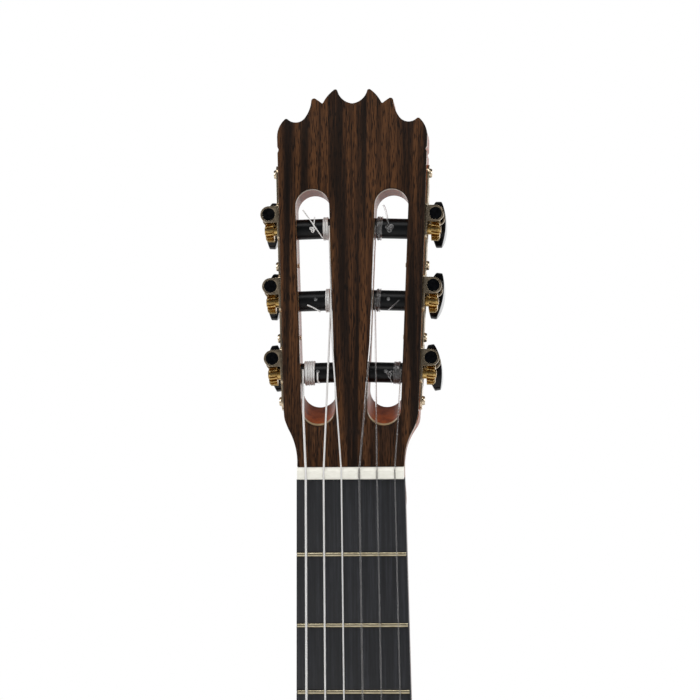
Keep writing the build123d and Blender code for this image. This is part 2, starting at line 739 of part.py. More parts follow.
def body_outline(inset):
    """The body's plan, drawn in from its edge by the inset."""
    circles = [(centre, radius - way * inset) for centre, radius, way in bout_circles()]
    (top, top_r), (upper, upper_r), (waist, waist_r), (low, low_r), (tail, tail_r) = circles
    joints = [
        top + (upper - top).normalized() * top_r,
        upper + (waist - upper).normalized() * upper_r,
        low + (waist - low).normalized() * low_r,
        tail + (low - tail).normalized() * tail_r,
    ]

    def arc(centre, radius, start, end):
        way = ((start + end) / 2 - centre).normalized()
        return ThreePointArc(start, centre + way * radius, end)

    def flip(point):
        return Vector(-point.X, point.Y)

    right = [
        arc(upper, upper_r, joints[0], joints[1]),
        arc(waist, waist_r, joints[1], joints[2]),
        arc(low, low_r, joints[2], joints[3]),
    ]
    left = [mirror(edge, about=Plane.YZ) for edge in right]
    ends = [
        arc(top, top_r, joints[0], flip(joints[0])),
        arc(tail, tail_r, joints[3], flip(joints[3])),
    ]
    return make_face(right + left + ends)


def body_prism(inset, y0, y1):
    return extrude(body_plane(y0) * body_outline(inset), amount=y1 - y0)


def body_ring(outer, inner, y0, y1):
    return body_prism(outer, y0, y1) - body_prism(inner, y0 - 1, y1 + 1)


def dome(drop):
    """Everything in front of the arched back, less the given drop."""
    centre = (0, BACK_DEEPEST_Y - BACK_RADIUS, BODY_Z - BACK_DEEPEST_U)
    return Pos(*centre) * Sphere(BACK_RADIUS - drop)


def soundboard():
    board = body_prism(BINDING_WIDTH, TOP_Y, TOP_Y + TOP_THICKNESS)
    board = board - body_plane(TOP_Y - 1) * Pos(0, HOLE_U, 0) * Cylinder(HOLE_RADIUS, 20)
    board = board - rosette()
    return board - purfling()


def rosette():
    ring = Circle(ROSETTE_OUTER) - Circle(ROSETTE_INNER)
    plane = body_plane(TOP_Y)
    solid = extrude(plane * Pos(0, HOLE_U) * ring, amount=ROSETTE_DEPTH)
    under_board = half_board(BOARD_END_Z)
    return solid - block(-under_board, under_board, 0, 10, BOARD_END_Z, -400)


def purfling():
    inner = BINDING_WIDTH + PURFLING_WIDTH
    ring = body_ring(BINDING_WIDTH, inner, TOP_Y, TOP_Y + PURFLING_DEPTH)
    return ring - block(-31.5, 31.5, 0, 20, -330, -300)


def tail_room():
    """Where the two ribs would meet, and the tail's inlaid strip lies."""
    low = BODY_Z - BODY_LENGTH
    return block(-5, 5, 0, 120, low - 5, low + 12)


def edge_bindings(outer_dome, cap):
    """The front hoop, the back hoop and the inlaid strip at the tail."""
    front = body_ring(0, BINDING_WIDTH, TOP_Y, TOP_Y + BINDING_HEIGHT)
    front = front - block(-CORE_HALF, CORE_HALF, 0, 20, -330, -300)
    back = body_ring(0, BINDING_WIDTH, 60, BEHIND) & outer_dome
    back = back - dome(BINDING_HEIGHT)
    back = back - cap
    graft = body_ring(0, RIB_THICKNESS, TOP_Y + BINDING_HEIGHT, BEHIND) & dome(BINDING_HEIGHT)
    graft = graft & tail_room()
    return front.solids() + back.solids() + graft.solids()


def ribs(inner_dome, bindings):
    ring = body_ring(0, RIB_THICKNESS, TOP_Y + TOP_THICKNESS, BEHIND) & inner_dome
    ring = ring - block(-CORE_HALF, CORE_HALF, 0, 120, -335, -300)
    ring = ring - tail_room()
    for piece in bindings:
        ring = ring - piece
    return ring


def back_plate(inner_dome, outer_dome, cap):
    plate = body_prism(BINDING_WIDTH, 60, BEHIND) & outer_dome
    plate = plate - inner_dome
    return plate + cap


def heel_cap(outer_dome):
    """The back's tongue that covers the heel's end."""
    tongue = heel_flare() & block(-40, 40, 60, 120, BODY_Z - 2.0, -250)
    return tongue & outer_dome


def linings(inner_dome, blocks):
    inner = RIB_THICKNESS + LINING_WIDTH
    start = TOP_Y + TOP_THICKNESS
    front = body_ring(RIB_THICKNESS, inner, start, start + LINING_HEIGHT)
    back = body_ring(RIB_THICKNESS, inner, 60, BEHIND) & inner_dome
    back = back - dome(BACK_THICKNESS + LINING_HEIGHT)
    result = []
    for ring in (front, back):
        for cutter in blocks:
            ring = ring - cutter
        result += ring.solids()
    return result


def tail_block(inner_dome):
    room = block(-35, 35, TOP_Y + TOP_THICKNESS, BEHIND, BODY_Z - BODY_LENGTH, BODY_Z - 470.0)
    return body_prism(RIB_THICKNESS, TOP_Y + TOP_THICKNESS, BEHIND) & room & inner_dome


def heel_block(inner_dome, cutters):
    """The heel outside, its core between the ribs, and the foot inside."""
    heel = heel_flare() - block(-60, 60, -10, 22.0, -400, -200)
    heel = heel & block(-60, 60, 0, 140, BODY_Z - 2.0, -250)
    foot = body_prism(RIB_THICKNESS, TOP_Y + TOP_THICKNESS, BEHIND)
    foot = foot & block(-32, 32, 0, 140, BODY_Z - 30.0, -300)
    core = block(-CORE_HALF, CORE_HALF, TOP_Y + TOP_THICKNESS, BEHIND, BODY_Z - 20.0, BODY_Z + 0.5)
    shape = (heel + core + foot) & inner_dome
    for cutter in cutters:
        shape = shape - cutter
    return shape.solids().sort_by(SortBy.VOLUME)[-1]


def cross_bar(u, width, height):
    """A bar glued across the underside of the soundboard."""
    start = TOP_Y + TOP_THICKNESS
    inner = RIB_THICKNESS + LINING_WIDTH + 0.2
    room = block(-200, 200, start, start + height, BODY_Z - u - width / 2, BODY_Z - u + width / 2)
    return body_prism(inner, start, start + height) & room


def strut(start, end, width, height):
    """A slim strut between two points of the soundboard's plan."""
    start = Vector(*start)
    end = Vector(*end)
    along = (end - start).normalized()
    side = Vector(-along.Y, along.X) * (width / 2)
    rim = Polyline(start + side, end + side, end - side, start - side, close=True)
    return extrude(body_plane(TOP_Y + TOP_THICKNESS) * make_face(rim), amount=height)


def soundboard_braces():
    bars = [cross_bar(98.0, 8.0, 15.0), cross_bar(211.0, 8.0, 15.0), cross_bar(62.0, 8.0, 6.0)]
    fan = [strut((20 * n, 222), (33 * n, 398 - 3 * n ** 2), 6.0, 4.0) for n in range(-3, 4)]
    closing = [strut((way * 14, 446), (way * 112, 414), 6.0, 4.0) for way in (-1, 1)]
    ring = Circle(HOLE_RADIUS + 15) - Circle(HOLE_RADIUS + 1)
    ring = ring & Rectangle(200, 78)
    patch = extrude(body_plane(TOP_Y + TOP_THICKNESS) * Pos(0, HOLE_U) * ring, amount=2.0)
    pieces = bars + fan + closing
    return [piece.solid() for piece in pieces] + list(patch.solids())


def back_braces(inner_dome):
    inner = RIB_THICKNESS + LINING_WIDTH + 0.2
    spots = (75.0, 190.0, 345.0)
    bars = []
    for u in spots:
        room = block(-200, 200, 84.0, BEHIND, BODY_Z - u - 3.5, BODY_Z - u + 3.5)
        bars.append((body_prism(inner, 84.0, BEHIND) & room & inner_dome).solid())
    strip = block(-7, 7, 70, BEHIND, BODY_Z - 468.0, BODY_Z - 32.0) & inner_dome
    strip = strip - dome(BACK_THICKNESS + 2.0)
    for bar in bars:
        strip = strip - bar
    return bars + list(strip.solids())


def bridge():
    """Wings, saddle block and tie block, cut from one piece."""
    half = BRIDGE_LENGTH / 2
    middle = BRIDGE_MIDDLE / 2
    wings = block(-half, half, 2.8, TOP_Y, BRIDGE_END_Z, BRIDGE_TOP_Z)
    wings = fillet(wings.faces().sort_by(Axis.Y)[0].edges(), 1.2)
    front = block(-middle, middle, -1.6, TOP_Y, SADDLE_Z - 4.6, BRIDGE_TOP_Z - 0.6)
    front = chamfer(front.edges().filter_by(Axis.X).group_by(Axis.Y)[0].sort_by(Axis.Z)[-1], 2.0)
    rear = block(-middle, middle, TIE_TOP_Y, TOP_Y, BRIDGE_END_Z, TIE_START_Z)
    half_slot = SADDLE_THICKNESS / 2
    half_saddle = SADDLE_LENGTH / 2
    slot = block(-half_saddle, half_saddle, -10, 2.0, SADDLE_Z - half_slot, SADDLE_Z + half_slot)
    shape = wings + front + rear - slot
    for x in STRING_AT_SADDLE:
        shape = shape - round_rod((x, TIE_HOLE_Y, -655.0), (x, TIE_HOLE_Y, -675.0), 0.8)
    return shape


def saddle():
    half = SADDLE_LENGTH / 2
    round_y = SADDLE_TOP_Y + SADDLE_THICKNESS / 2
    thick = SADDLE_THICKNESS / 2
    bar = block(-half, half, round_y, 2.0, SADDLE_Z - thick, SADDLE_Z + thick)
    return bar + round_rod((-half, round_y, SADDLE_Z), (half, round_y, SADDLE_Z), thick)


def tie_block_trim():
    half = BRIDGE_MIDDLE / 2
    low = TIE_TOP_Y - TRIM_HEIGHT
    return [
        block(-half, half, low, TIE_TOP_Y, TIE_START_Z - TRIM_WIDTH, TIE_START_Z),
        block(-half, half, low, TIE_TOP_Y, BRIDGE_END_Z, BRIDGE_END_Z + TRIM_WIDTH),
    ]


# ---- Assembly -----------------------------------------------------------

def build_neck_and_head():
    slots = head_slots()
    screws = plate_screws()
    screws = [piece for screw in screws for piece in both_sides(screw)]
    outline = head_outline()
    shaft, head = neck_and_head(slots, screws)
    save("head_core", head)
    save("head_faceplate", head_layer(outline, slots, 0.0, FACEPLATE))
    light = head_layer(outline, slots, FACEPLATE, LIGHT_VENEER)
    dark = head_layer(outline, slots, FACEPLATE + LIGHT_VENEER, DARK_VENEER)
    save("head_veneers", Compound(children=[light.solid(), dark.solid()]))
    save("plate_screws", Compound(children=[screw.solid() for screw in screws]))
    save("nut", nut_block())
    save("fingerboard", fingerboard())
    save("frets", Compound(children=[fret(n).solid() for n in range(1, FRET_COUNT + 1)]))
    return shaft


def build_tuners():
    plate = tuner_plate()
    save("tuner_plate_treble", plate)
    save("tuner_plate_bass", mirror(plate, about=Plane.YZ))
    wheel = worm_wheel()
    shaft = worm_shaft()
    for number in range(1, 7):
        index = STRING_ROLLER[number - 1]
        side = 1 if number <= 3 else -1
        plane = tuner_plane(index)
        save("string_roller_" + str(number), on_side(plane * roller(index), side))
        save("worm_wheel_" + str(number), on_side(plane * wheel, side))
        save("worm_shaft_" + str(number), on_side(plane * shaft, side))
        knob = button(BUTTON_TURNS[number - 1] * side)
        save("tuning_button_" + str(number), on_side(plane * knob, side))


def build_strings():
    for number in range(1, 7):
        save("string_" + str(number), guitar_string(number))
        save("string_" + str(number) + "_winding", winding(number))


def build_body(shaft):
    inner_dome = dome(BACK_THICKNESS)
    outer_dome = dome(0)
    cap = heel_cap(outer_dome) - inner_dome
    bindings = edge_bindings(outer_dome, cap)
    sides = ribs(inner_dome, bindings)
    board = soundboard()
    back = back_plate(inner_dome, outer_dome, cap)
    inlay = purfling()
    shaft = shaft - body_prism(RIB_THICKNESS, 0, 60)
    for cutter in [board, inlay, sides] + bindings:
        shaft = shaft - cutter
    shaft = shaft.solids().sort_by(SortBy.VOLUME)[-1]
    foot = heel_block(inner_dome, [board, sides, shaft, inlay] + bindings)
    tail = tail_block(inner_dome)
    save("neck_shaft", shaft)
    save("heel_block", foot)
    save("tail_block", tail)
    save("edge_bindings", Compound(children=bindings))
    save("ribs", sides)
    save("soundboard", board)
    save("back_plate", back)
    save("purfling", inlay)
    save("rosette", rosette())
    save("linings", Compound(children=linings(inner_dome, [foot, tail])))
    save("soundboard_braces", Compound(children=soundboard_braces()))
    save("back_braces", Compound(children=back_braces(inner_dome)))
    save("bridge", bridge())
    save("saddle", saddle())
    save("tie_block_trim", Compound(children=[piece.solid() for piece in tie_block_trim()]))


os.makedirs("parts", exist_ok=True)
build_tuners()
build_strings()
neck = build_neck_and_head()
build_body(neck)
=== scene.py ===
# %% [markdown]
# # A classical guitar: wood, brass, nylon and silver
# The frame loaded below holds every part at its real size, on the bodies that turn. This lesson gives
# those parts their finishes and builds what repeats (frets, string turns, mosaic tiles) with Geometry
# Nodes. Every length is in metres, +Z runs up the neck and -Y is the guitar's front.

# %% The frame
import json
import math

import bmesh
import bpy
from mathutils import Matrix, Vector


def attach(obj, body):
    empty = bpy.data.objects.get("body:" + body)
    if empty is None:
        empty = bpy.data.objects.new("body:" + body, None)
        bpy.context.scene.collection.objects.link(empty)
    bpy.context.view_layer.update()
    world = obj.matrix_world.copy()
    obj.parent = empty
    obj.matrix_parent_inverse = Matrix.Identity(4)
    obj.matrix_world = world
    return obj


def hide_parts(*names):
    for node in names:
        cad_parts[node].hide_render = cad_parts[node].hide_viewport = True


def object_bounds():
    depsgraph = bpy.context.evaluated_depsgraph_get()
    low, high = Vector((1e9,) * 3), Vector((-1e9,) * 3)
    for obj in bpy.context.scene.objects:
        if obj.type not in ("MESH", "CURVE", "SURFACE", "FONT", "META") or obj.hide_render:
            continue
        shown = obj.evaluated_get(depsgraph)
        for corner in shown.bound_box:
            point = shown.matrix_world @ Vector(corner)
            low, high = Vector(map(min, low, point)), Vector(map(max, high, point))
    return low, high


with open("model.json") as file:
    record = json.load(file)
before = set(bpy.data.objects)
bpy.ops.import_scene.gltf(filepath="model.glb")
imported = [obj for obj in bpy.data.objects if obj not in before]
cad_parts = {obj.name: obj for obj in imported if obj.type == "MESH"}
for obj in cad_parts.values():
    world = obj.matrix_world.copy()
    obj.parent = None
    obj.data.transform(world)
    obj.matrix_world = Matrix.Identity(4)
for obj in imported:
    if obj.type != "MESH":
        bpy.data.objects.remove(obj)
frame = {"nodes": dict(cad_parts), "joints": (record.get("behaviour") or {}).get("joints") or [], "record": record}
cad_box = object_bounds()
nodes = frame["nodes"]
joints = {joint["name"]: joint for joint in frame["joints"]}
MM = 0.001

# %% [markdown]
# ## Camera
# A long lens from a few metres away keeps the head's straight lines straight, as a product picture
# wants. The camera is placed by distance, compass angle and height about a target on the head, and
# rolled a little.

# %% The camera
CAMERA_DISTANCE = 2.5
CAMERA_AZIMUTH = math.radians(3.94)
CAMERA_ELEVATION = math.radians(5.96)
CAMERA_ROLL = math.radians(-0.81)
CAMERA_LENS = 268.75
CAMERA_TARGET = Vector((0.0006, 0, 0.0622))


def place_camera():
    """Makes the camera and aims it at the head."""
    flat = math.cos(CAMERA_ELEVATION)
    sideways = math.sin(CAMERA_AZIMUTH) * flat
    forwards = -math.cos(CAMERA_AZIMUTH) * flat
    back = Vector((sideways, forwards, math.sin(CAMERA_ELEVATION)))
    right = (-back).cross(Vector((0, 0, 1))).normalized()
    up = back.cross(right)
    across = right * math.cos(CAMERA_ROLL) + up * math.sin(CAMERA_ROLL)
    above = up * math.cos(CAMERA_ROLL) - right * math.sin(CAMERA_ROLL)
    lens = bpy.data.cameras.new("camera")
    lens.lens = CAMERA_LENS
    camera = bpy.data.objects.new("camera", lens)
    turn = Matrix((across, above, back)).transposed().to_4x4()
    camera.matrix_world = Matrix.Translation(CAMERA_TARGET + back * CAMERA_DISTANCE) @ turn
    bpy.context.scene.collection.objects.link(camera)
    bpy.context.scene.camera = camera
    return camera


camera = place_camera()
print("camera at", [round(value, 3) for value in camera.location])

# %% [markdown]
# ## Nodes in one line
# Materials and Geometry Nodes trees are both made of nodes. One helper adds a node, sets its
# properties, fills its inputs with values or links, and fills a colour ramp if it is given stops.
# Colours are written as the hex codes that a colour picker shows and turned to the linear values that
# the renderer works in.

# %% Colours and nodes
def linear(code, alpha=1.0):
    """The linear colour of an sRGB hex code such as 4a2e20."""
    shares = [int(code[place:place + 2], 16) / 255 for place in (0, 2, 4)]
    return tuple(s / 12.92 if s <= 0.04045 else ((s + 0.055) / 1.055) ** 2.4 for s in shares) + (alpha,)


def add(tree, kind, inputs=None, stops=None, **settings):
    """Adds one node with its settings, its ramp's stops, and its inputs as values or links."""
    node = tree.nodes.new(kind)
    for name, value in settings.items():
        setattr(node, name, value)
    if stops:
        elements = node.color_ramp.elements
        while len(elements) < len(stops):
            elements.new(0.5)
        for element, (place, colour) in zip(elements, stops):
            element.position = place
            element.color = colour
    for name, value in (inputs or {}).items():
        if isinstance(value, list):
            for source in value:
                tree.links.new(source, node.inputs[name])
        elif isinstance(value, bpy.types.NodeSocket):
            tree.links.new(value, node.inputs[name])
        else:
            node.inputs[name].default_value = value
    return node


def new_finish(name, **values):
    """A material with one Principled shader, its sockets set by name, with its tree and shader."""
    material = bpy.data.materials.new(name)
    material.use_nodes = True
    tree = material.node_tree
    tree.nodes.clear()
    sockets = {key.replace("_", " "): value for key, value in values.items()}
    shader = add(tree, "ShaderNodeBsdfPrincipled", sockets)
    add(tree, "ShaderNodeOutputMaterial", {"Surface": shader.outputs["BSDF"]})
    return material, tree, shader


def object_space(tree, cell_mm, turn=(0, 0, 0)):
    """Object coordinates in which one unit is one cell of the given size in millimetres."""
    place = add(tree, "ShaderNodeTexCoord").outputs["Object"]
    turned = add(tree, "ShaderNodeMapping", {"Vector": place, "Rotation": turn})
    scale = tuple(1 / (size * MM) for size in cell_mm)
    return add(tree, "ShaderNodeMapping", {"Vector": turned.outputs[0], "Scale": scale}).outputs[0]


print("f5f3ee is", [round(value, 3) for value in linear("f5f3ee")])

# %% [markdown]
# ## Studio
# The guitar stands on a plain pale floor in a white room. The wall behind it is the brightest and the
# side of the camera the dimmest, so dark woods stay dark while every rounded edge and lacquered wall
# catches a white line. A world shader can do this with the ray's direction alone: rays that go back
# meet more light. The ceiling lights the floor but is dim to mirror-like rays, so the sloping ends of
# the slots keep their colour.

# %% Studio
WALL_BEHIND = 1.25
WALL_IN_FRONT = 0.32
CEILING = 0.1                # the ceiling's share of the wall's brightness
FLOOR_SIZE = 7.0


def light_room():
    """White to the eye, and brighter behind the guitar than in front of it."""
    world = bpy.data.worlds.new("white_room")
    bpy.context.scene.world = world
    world.use_nodes = True
    tree = world.node_tree
    tree.nodes.clear()
    way = add(tree, "ShaderNodeTexCoord").outputs["Generated"]
    parts = add(tree, "ShaderNodeSeparateXYZ", {0: way})
    wall = add(tree, "ShaderNodeMapRange", {
        "Value": parts.outputs["Y"], "From Min": -0.7, "From Max": 0.9,
        "To Min": WALL_IN_FRONT, "To Max": WALL_BEHIND})
    overhead = add(tree, "ShaderNodeMapRange", {
        "Value": parts.outputs["Z"], "From Min": 0.12, "From Max": 0.5, "To Min": 1.0, "To Max": CEILING})
    rays = add(tree, "ShaderNodeLightPath").outputs
    mirrored = add(tree, "ShaderNodeMix", {0: rays["Is Glossy Ray"], 2: 1.0, 3: overhead.outputs[0]})
    strength = add(tree, "ShaderNodeMath", {
        0: wall.outputs[0], 1: mirrored.outputs[0]}, operation="MULTIPLY")
    room = add(tree, "ShaderNodeBackground", {"Color": (1, 1, 1, 1), "Strength": strength.outputs[0]})
    seen = add(tree, "ShaderNodeBackground", {"Color": (1, 1, 1, 1), "Strength": 1.0})
    mix = add(tree, "ShaderNodeMixShader", {
        0: rays["Is Camera Ray"], 1: room.outputs[0], 2: seen.outputs[0]})
    add(tree, "ShaderNodeOutputWorld", {"Surface": mix.outputs[0]})


def add_softbox(name, place, watts, width, height):
    """A soft window of light that faces the guitar's head."""
    panel = bpy.data.lights.new(name, "AREA")
    panel.shape = "RECTANGLE"
    panel.size = width
    panel.size_y = height
    panel.energy = watts
    lamp = bpy.data.objects.new(name, panel)
    lamp.location = place
    lamp.rotation_euler = (CAMERA_TARGET - Vector(place)).to_track_quat("-Z", "Y").to_euler()
    bpy.context.scene.collection.objects.link(lamp)


def lay_floor():
    """A pale floor just under the guitar's tail."""
    low = cad_box[0][2]
    mesh = bpy.data.meshes.new("floor")
    half = FLOOR_SIZE / 2
    corners = [(-half, -half, low), (half, -half, low), (half, half, low), (-half, half, low)]
    mesh.from_pydata(corners, [], [(0, 1, 2, 3)])
    floor = bpy.data.objects.new("floor", mesh)
    bpy.context.scene.collection.objects.link(floor)
    paint, tree, shader = new_finish("studio_floor_matte_paint", Roughness=0.7)
    grain = add(tree, "ShaderNodeTexNoise", {"Vector": object_space(tree, (40, 40, 40)), "Scale": 1.0})
    stops = [(0.3, linear("efefef")), (0.7, linear("f6f6f6"))]
    tone = add(tree, "ShaderNodeValToRGB", {0: grain.outputs[0]}, stops)
    tree.links.new(tone.outputs[0], shader.inputs["Base Color"])
    mesh.materials.append(paint)


light_room()
add_softbox("softbox_left", (-1.5, -1.0, 1.0), 14, 1.0, 1.4)
add_softbox("softbox_right", (1.6, -1.1, 0.9), 11, 0.9, 1.4)
add_softbox("softbox_above", (0.0, -0.9, 1.9), 9, 1.2, 0.8)
lay_floor()
bpy.context.scene.view_settings.view_transform = "Standard"
print("floor at", round(cad_box[0][2], 3))

# %% [markdown]
# ## Wood
# Sawn wood shows growth rings as long stripes, finer lines within them, and pores as short dark dashes
# along the grain. All three are noise that is squeezed across the grain and stretched along it. The
# squeeze is set in millimetres, so each wood keeps its true scale on every part. A ramp turns the
# stripes into the wood's own tones, the pores darken them and press a little relief, and lacquer is a
# clear coat over it all.

# %% Wood
ALONG_NECK = (1, 1, 40)
ALONG_RIBS = (40, 1, 40)
ACROSS_BODY = (40, 1, 1)
PORE_LENGTH = 12             # a pore is this many times longer than it is wide
PORE_DEPTH_MM = 0.05


def wood(name, tones, stripe_mm, pore_mm, grain=ALONG_NECK, pores=0.6, lean=0.0, mirrored=False,
         **values):
    """Striped wood. Tones are (place, hex) stops; grain stretches a stripe along X, Y and Z."""
    material, tree, shader = new_finish(name, **values)
    turn = (lean, 0, 0)
    place = object_space(tree, [stripe_mm * stretch for stretch in grain], turn)
    dash = object_space(tree, [pore_mm * (1 if stretch == 1 else PORE_LENGTH) for stretch in grain], turn)
    if mirrored:
        place = mirror_in_middle(tree, place)
        dash = mirror_in_middle(tree, dash)
    sway = add(tree, "ShaderNodeTexNoise", {"Vector": place, "Scale": 0.35, "Detail": 1.0})
    bent = add(tree, "ShaderNodeMix", {0: 0.12, 4: place, 5: sway.outputs["Color"]}, data_type="VECTOR")
    broad = add(tree, "ShaderNodeTexNoise", {
        "Vector": bent.outputs[1], "Scale": 1.0, "Detail": 4.0, "Roughness": 0.62, "Distortion": 0.15})
    stops = [(at, linear(code)) for at, code in tones]
    ramp = add(tree, "ShaderNodeValToRGB", {0: broad.outputs[0]}, stops)
    spots = add(tree, "ShaderNodeTexNoise", {"Vector": dash, "Scale": 1.0, "Detail": 1.0})
    holes = add(tree, "ShaderNodeMapRange", {
        "Value": spots.outputs[0], "From Min": 0.52, "From Max": 0.62, "To Min": 0.0, "To Max": pores})
    dark = add(tree, "ShaderNodeMix", {
        0: holes.outputs[0], 6: ramp.outputs[0], 7: linear(tones[0][1])}, data_type="RGBA")
    tree.links.new(dark.outputs[2], shader.inputs["Base Color"])
    relief = add(tree, "ShaderNodeBump", {
        "Height": holes.outputs[0], "Distance": PORE_DEPTH_MM * MM, "Strength": 0.5}, invert=True)
    tree.links.new(relief.outputs[0], shader.inputs["Normal"])
    return material


def mirror_in_middle(tree, place):
    """Folds the pattern about the guitar's middle, as two boards opened like a book."""
    parts = add(tree, "ShaderNodeSeparateXYZ", {0: place})
    fold = add(tree, "ShaderNodeMath", {0: parts.outputs[0]}, operation="ABSOLUTE")
    joined = {0: fold.outputs[0], 1: parts.outputs[1], 2: parts.outputs[2]}
    return add(tree, "ShaderNodeCombineXYZ", joined).outputs[0]


print("wood helper ready")

# %% [markdown]
# ### The woods of this guitar
# Rosewood is brown with nearly black streaks and coarse pores; the head's veneer lies under satin
# lacquer. The neck is cedar, even and orange-brown. Ebony is almost black and only oiled, so it shines
# softly. The soundboard is spruce with a fine straight line each year, and its braces are the same wood
# left bare. Linings are willow.

# %% The woods
ROSEWOOD_TONES = [(0.30, "110b08"), (0.42, "24170f"), (0.49, "3c2617"), (0.58, "573821"), (0.72, "2d1c12")]
CEDAR_TONES = [(0.30, "6e2f0c"), (0.45, "8a3d10"), (0.60, "a04c16"), (0.75, "80360c")]
EBONY_TONES = [(0.30, "131417"), (0.50, "1d1e22"), (0.65, "2b2c31"), (0.80, "1a1b1e")]
SPRUCE_TONES = [(0.30, "c98f45"), (0.45, "dba65c"), (0.60, "e6b872"), (0.75, "d39c50")]
BARE_SPRUCE_TONES = [(0.30, "cdb284"), (0.50, "dcc49a"), (0.70, "e6d2ac")]
WILLOW_TONES = [(0.30, "b89b6b"), (0.50, "c9ae80"), (0.70, "d6be94")]
MAPLE_TONES = [(0.30, "8f7650"), (0.50, "a98f66"), (0.70, "bfa57a")]
BLACK_TONES = [(0.30, "0e0c0b"), (0.50, "171413"), (0.70, "211c1a")]
HEAD_LEAN = math.radians(15)

woods = {
    "rosewood_head": wood("rosewood_veneer_satin_lacquered", ROSEWOOD_TONES, 4.2, 0.42, pores=0.85,
                          lean=HEAD_LEAN, Roughness=0.5, Specular_IOR_Level=0.1),
    "rosewood_back": wood("rosewood_book_matched_gloss_lacquered", ROSEWOOD_TONES, 7.0, 0.5, mirrored=True,
                          Roughness=0.35, Coat_Weight=0.9, Coat_Roughness=0.05),
    "rosewood_ribs": wood("rosewood_bent_gloss_lacquered", ROSEWOOD_TONES, 6.0, 0.5, grain=ALONG_RIBS,
                          Roughness=0.35, Coat_Weight=0.9, Coat_Roughness=0.05),
    "rosewood_bridge": wood("rosewood_carved_satin", ROSEWOOD_TONES, 3.2, 0.4, grain=ACROSS_BODY,
                            Roughness=0.38, Coat_Weight=0.3, Coat_Roughness=0.2),
    "rosewood_binding": wood("rosewood_binding_gloss_lacquered", ROSEWOOD_TONES, 3.0, 0.4, grain=ALONG_RIBS,
                             Roughness=0.35, Coat_Weight=0.9, Coat_Roughness=0.05),
    "cedar": wood("spanish_cedar_gloss_lacquered", CEDAR_TONES, 3.0, 0.4, pores=0.45,
                  Roughness=0.5, Specular_IOR_Level=0.12, Coat_Weight=0.25, Coat_Roughness=0.08),
    "ebony": wood("ebony_planed_and_oiled", EBONY_TONES, 1.5, 0.45, pores=0.35,
                  Roughness=0.46, Specular_IOR_Level=0.45),
    "spruce": wood("spruce_soundboard_gloss_lacquered", SPRUCE_TONES, 1.3, 0.5, pores=0.12, mirrored=True,
                   Roughness=0.4, Coat_Weight=0.9, Coat_Roughness=0.05),
    "brace": wood("spruce_planed_bare", BARE_SPRUCE_TONES, 1.2, 0.5, pores=0.15, Roughness=0.75),
    "willow": wood("willow_bent_bare", WILLOW_TONES, 2.0, 0.5, pores=0.1, grain=ALONG_RIBS, Roughness=0.78),
    "maple": wood("maple_veneer_pressed", MAPLE_TONES, 1.5, 0.5, pores=0.1,
                  Roughness=0.4, Coat_Weight=0.8, Coat_Roughness=0.08),
    "black_veneer": wood("pearwood_veneer_dyed_black", BLACK_TONES, 1.5, 0.5, pores=0.2,
                         Roughness=0.42, Coat_Weight=0.8, Coat_Roughness=0.08),
}
print(len(woods), "woods")

# %% [markdown]
# ### Metals, bone, plastic and strings
# The machines' plates are champagne nickel over brass and polished along their length; the worm wheels
# are turned brass that shows rings from the cutter; the worms are blacked steel. Rollers are satin
# plastic and the buttons polished. Bone is never quite one white. Bass strings are nylon floss wound
# with silvered wire, so they shine in fine bands, darkened with painted shade between the wraps, and the trebles
# are clear nylon.

# %% Metals
def brushed_metal(name, tones, cell_mm, depth_mm, **values):
    """Metal whose colour and fine scratches follow one direction, set by the cell's long side."""
    material, tree, shader = new_finish(name, Metallic=1.0, **values)
    place = object_space(tree, cell_mm)
    lines = add(tree, "ShaderNodeTexNoise", {"Vector": place, "Scale": 1.0, "Detail": 3.0})
    stops = [(at, linear(code)) for at, code in tones]
    ramp = add(tree, "ShaderNodeValToRGB", {0: lines.outputs[0]}, stops)
    relief = add(tree, "ShaderNodeBump", {
        "Height": lines.outputs[0], "Distance": depth_mm * MM, "Strength": 0.4})
    tree.links.new(ramp.outputs[0], shader.inputs["Base Color"])
    tree.links.new(relief.outputs[0], shader.inputs["Normal"])
    return material


metals = {
    "plate": brushed_metal("champagne_nickel_plate_polished", [(0.35, "b9a58a"), (0.65, "dccbb0")],
                           (0.5, 0.5, 9), 0.01, Roughness=0.24),
    "screw": brushed_metal("champagne_nickel_screw_turned", [(0.35, "c2ae92"), (0.65, "e0d0b6")],
                           (0.4, 0.4, 0.4), 0.01, Roughness=0.2),
    "wheel": brushed_metal("brass_wheel_hobbed_gilt", [(0.35, "ab8748"), (0.65, "ddbf80")],
                           (0.5, 2.0, 0.5), 0.02, Roughness=0.24),
    "worm": brushed_metal("steel_worm_blacked", [(0.35, "101113"), (0.65, "1c1d20")],
                          (1.2, 1.2, 1.2), 0.01, Roughness=0.42),
    "fret": brushed_metal("nickel_silver_fret_dressed", [(0.35, "a2977c"), (0.65, "c9bfa4")],
                          (3.0, 0.4, 0.4), 0.005, Roughness=0.22),
}
print(len(metals), "metals")

# %% Bone, plastic and strings
def speckled(name, tones, cell_mm, depth_mm, **values):
    """A moulded or polished material with a soft cloud of tone and a faint skin."""
    material, tree, shader = new_finish(name, **values)
    place = object_space(tree, cell_mm)
    cloud = add(tree, "ShaderNodeTexNoise", {"Vector": place, "Scale": 1.0, "Detail": 4.0})
    stops = [(at, linear(code)) for at, code in tones]
    ramp = add(tree, "ShaderNodeValToRGB", {0: cloud.outputs[0]}, stops)
    relief = add(tree, "ShaderNodeBump", {
        "Height": cloud.outputs[0], "Distance": depth_mm * MM, "Strength": 0.3})
    tree.links.new(ramp.outputs[0], shader.inputs["Base Color"])
    tree.links.new(relief.outputs[0], shader.inputs["Normal"])
    return material


WINDING_SHOWN_MM = 0.5       # real wraps are about 0.2 mm apart, too fine to show, so these are coarser
WRAP_DEPTH_MM = 0.08
WAVE_OF_ONE_CELL = 0.314     # the wave texture's scale at which one band is one unit wide


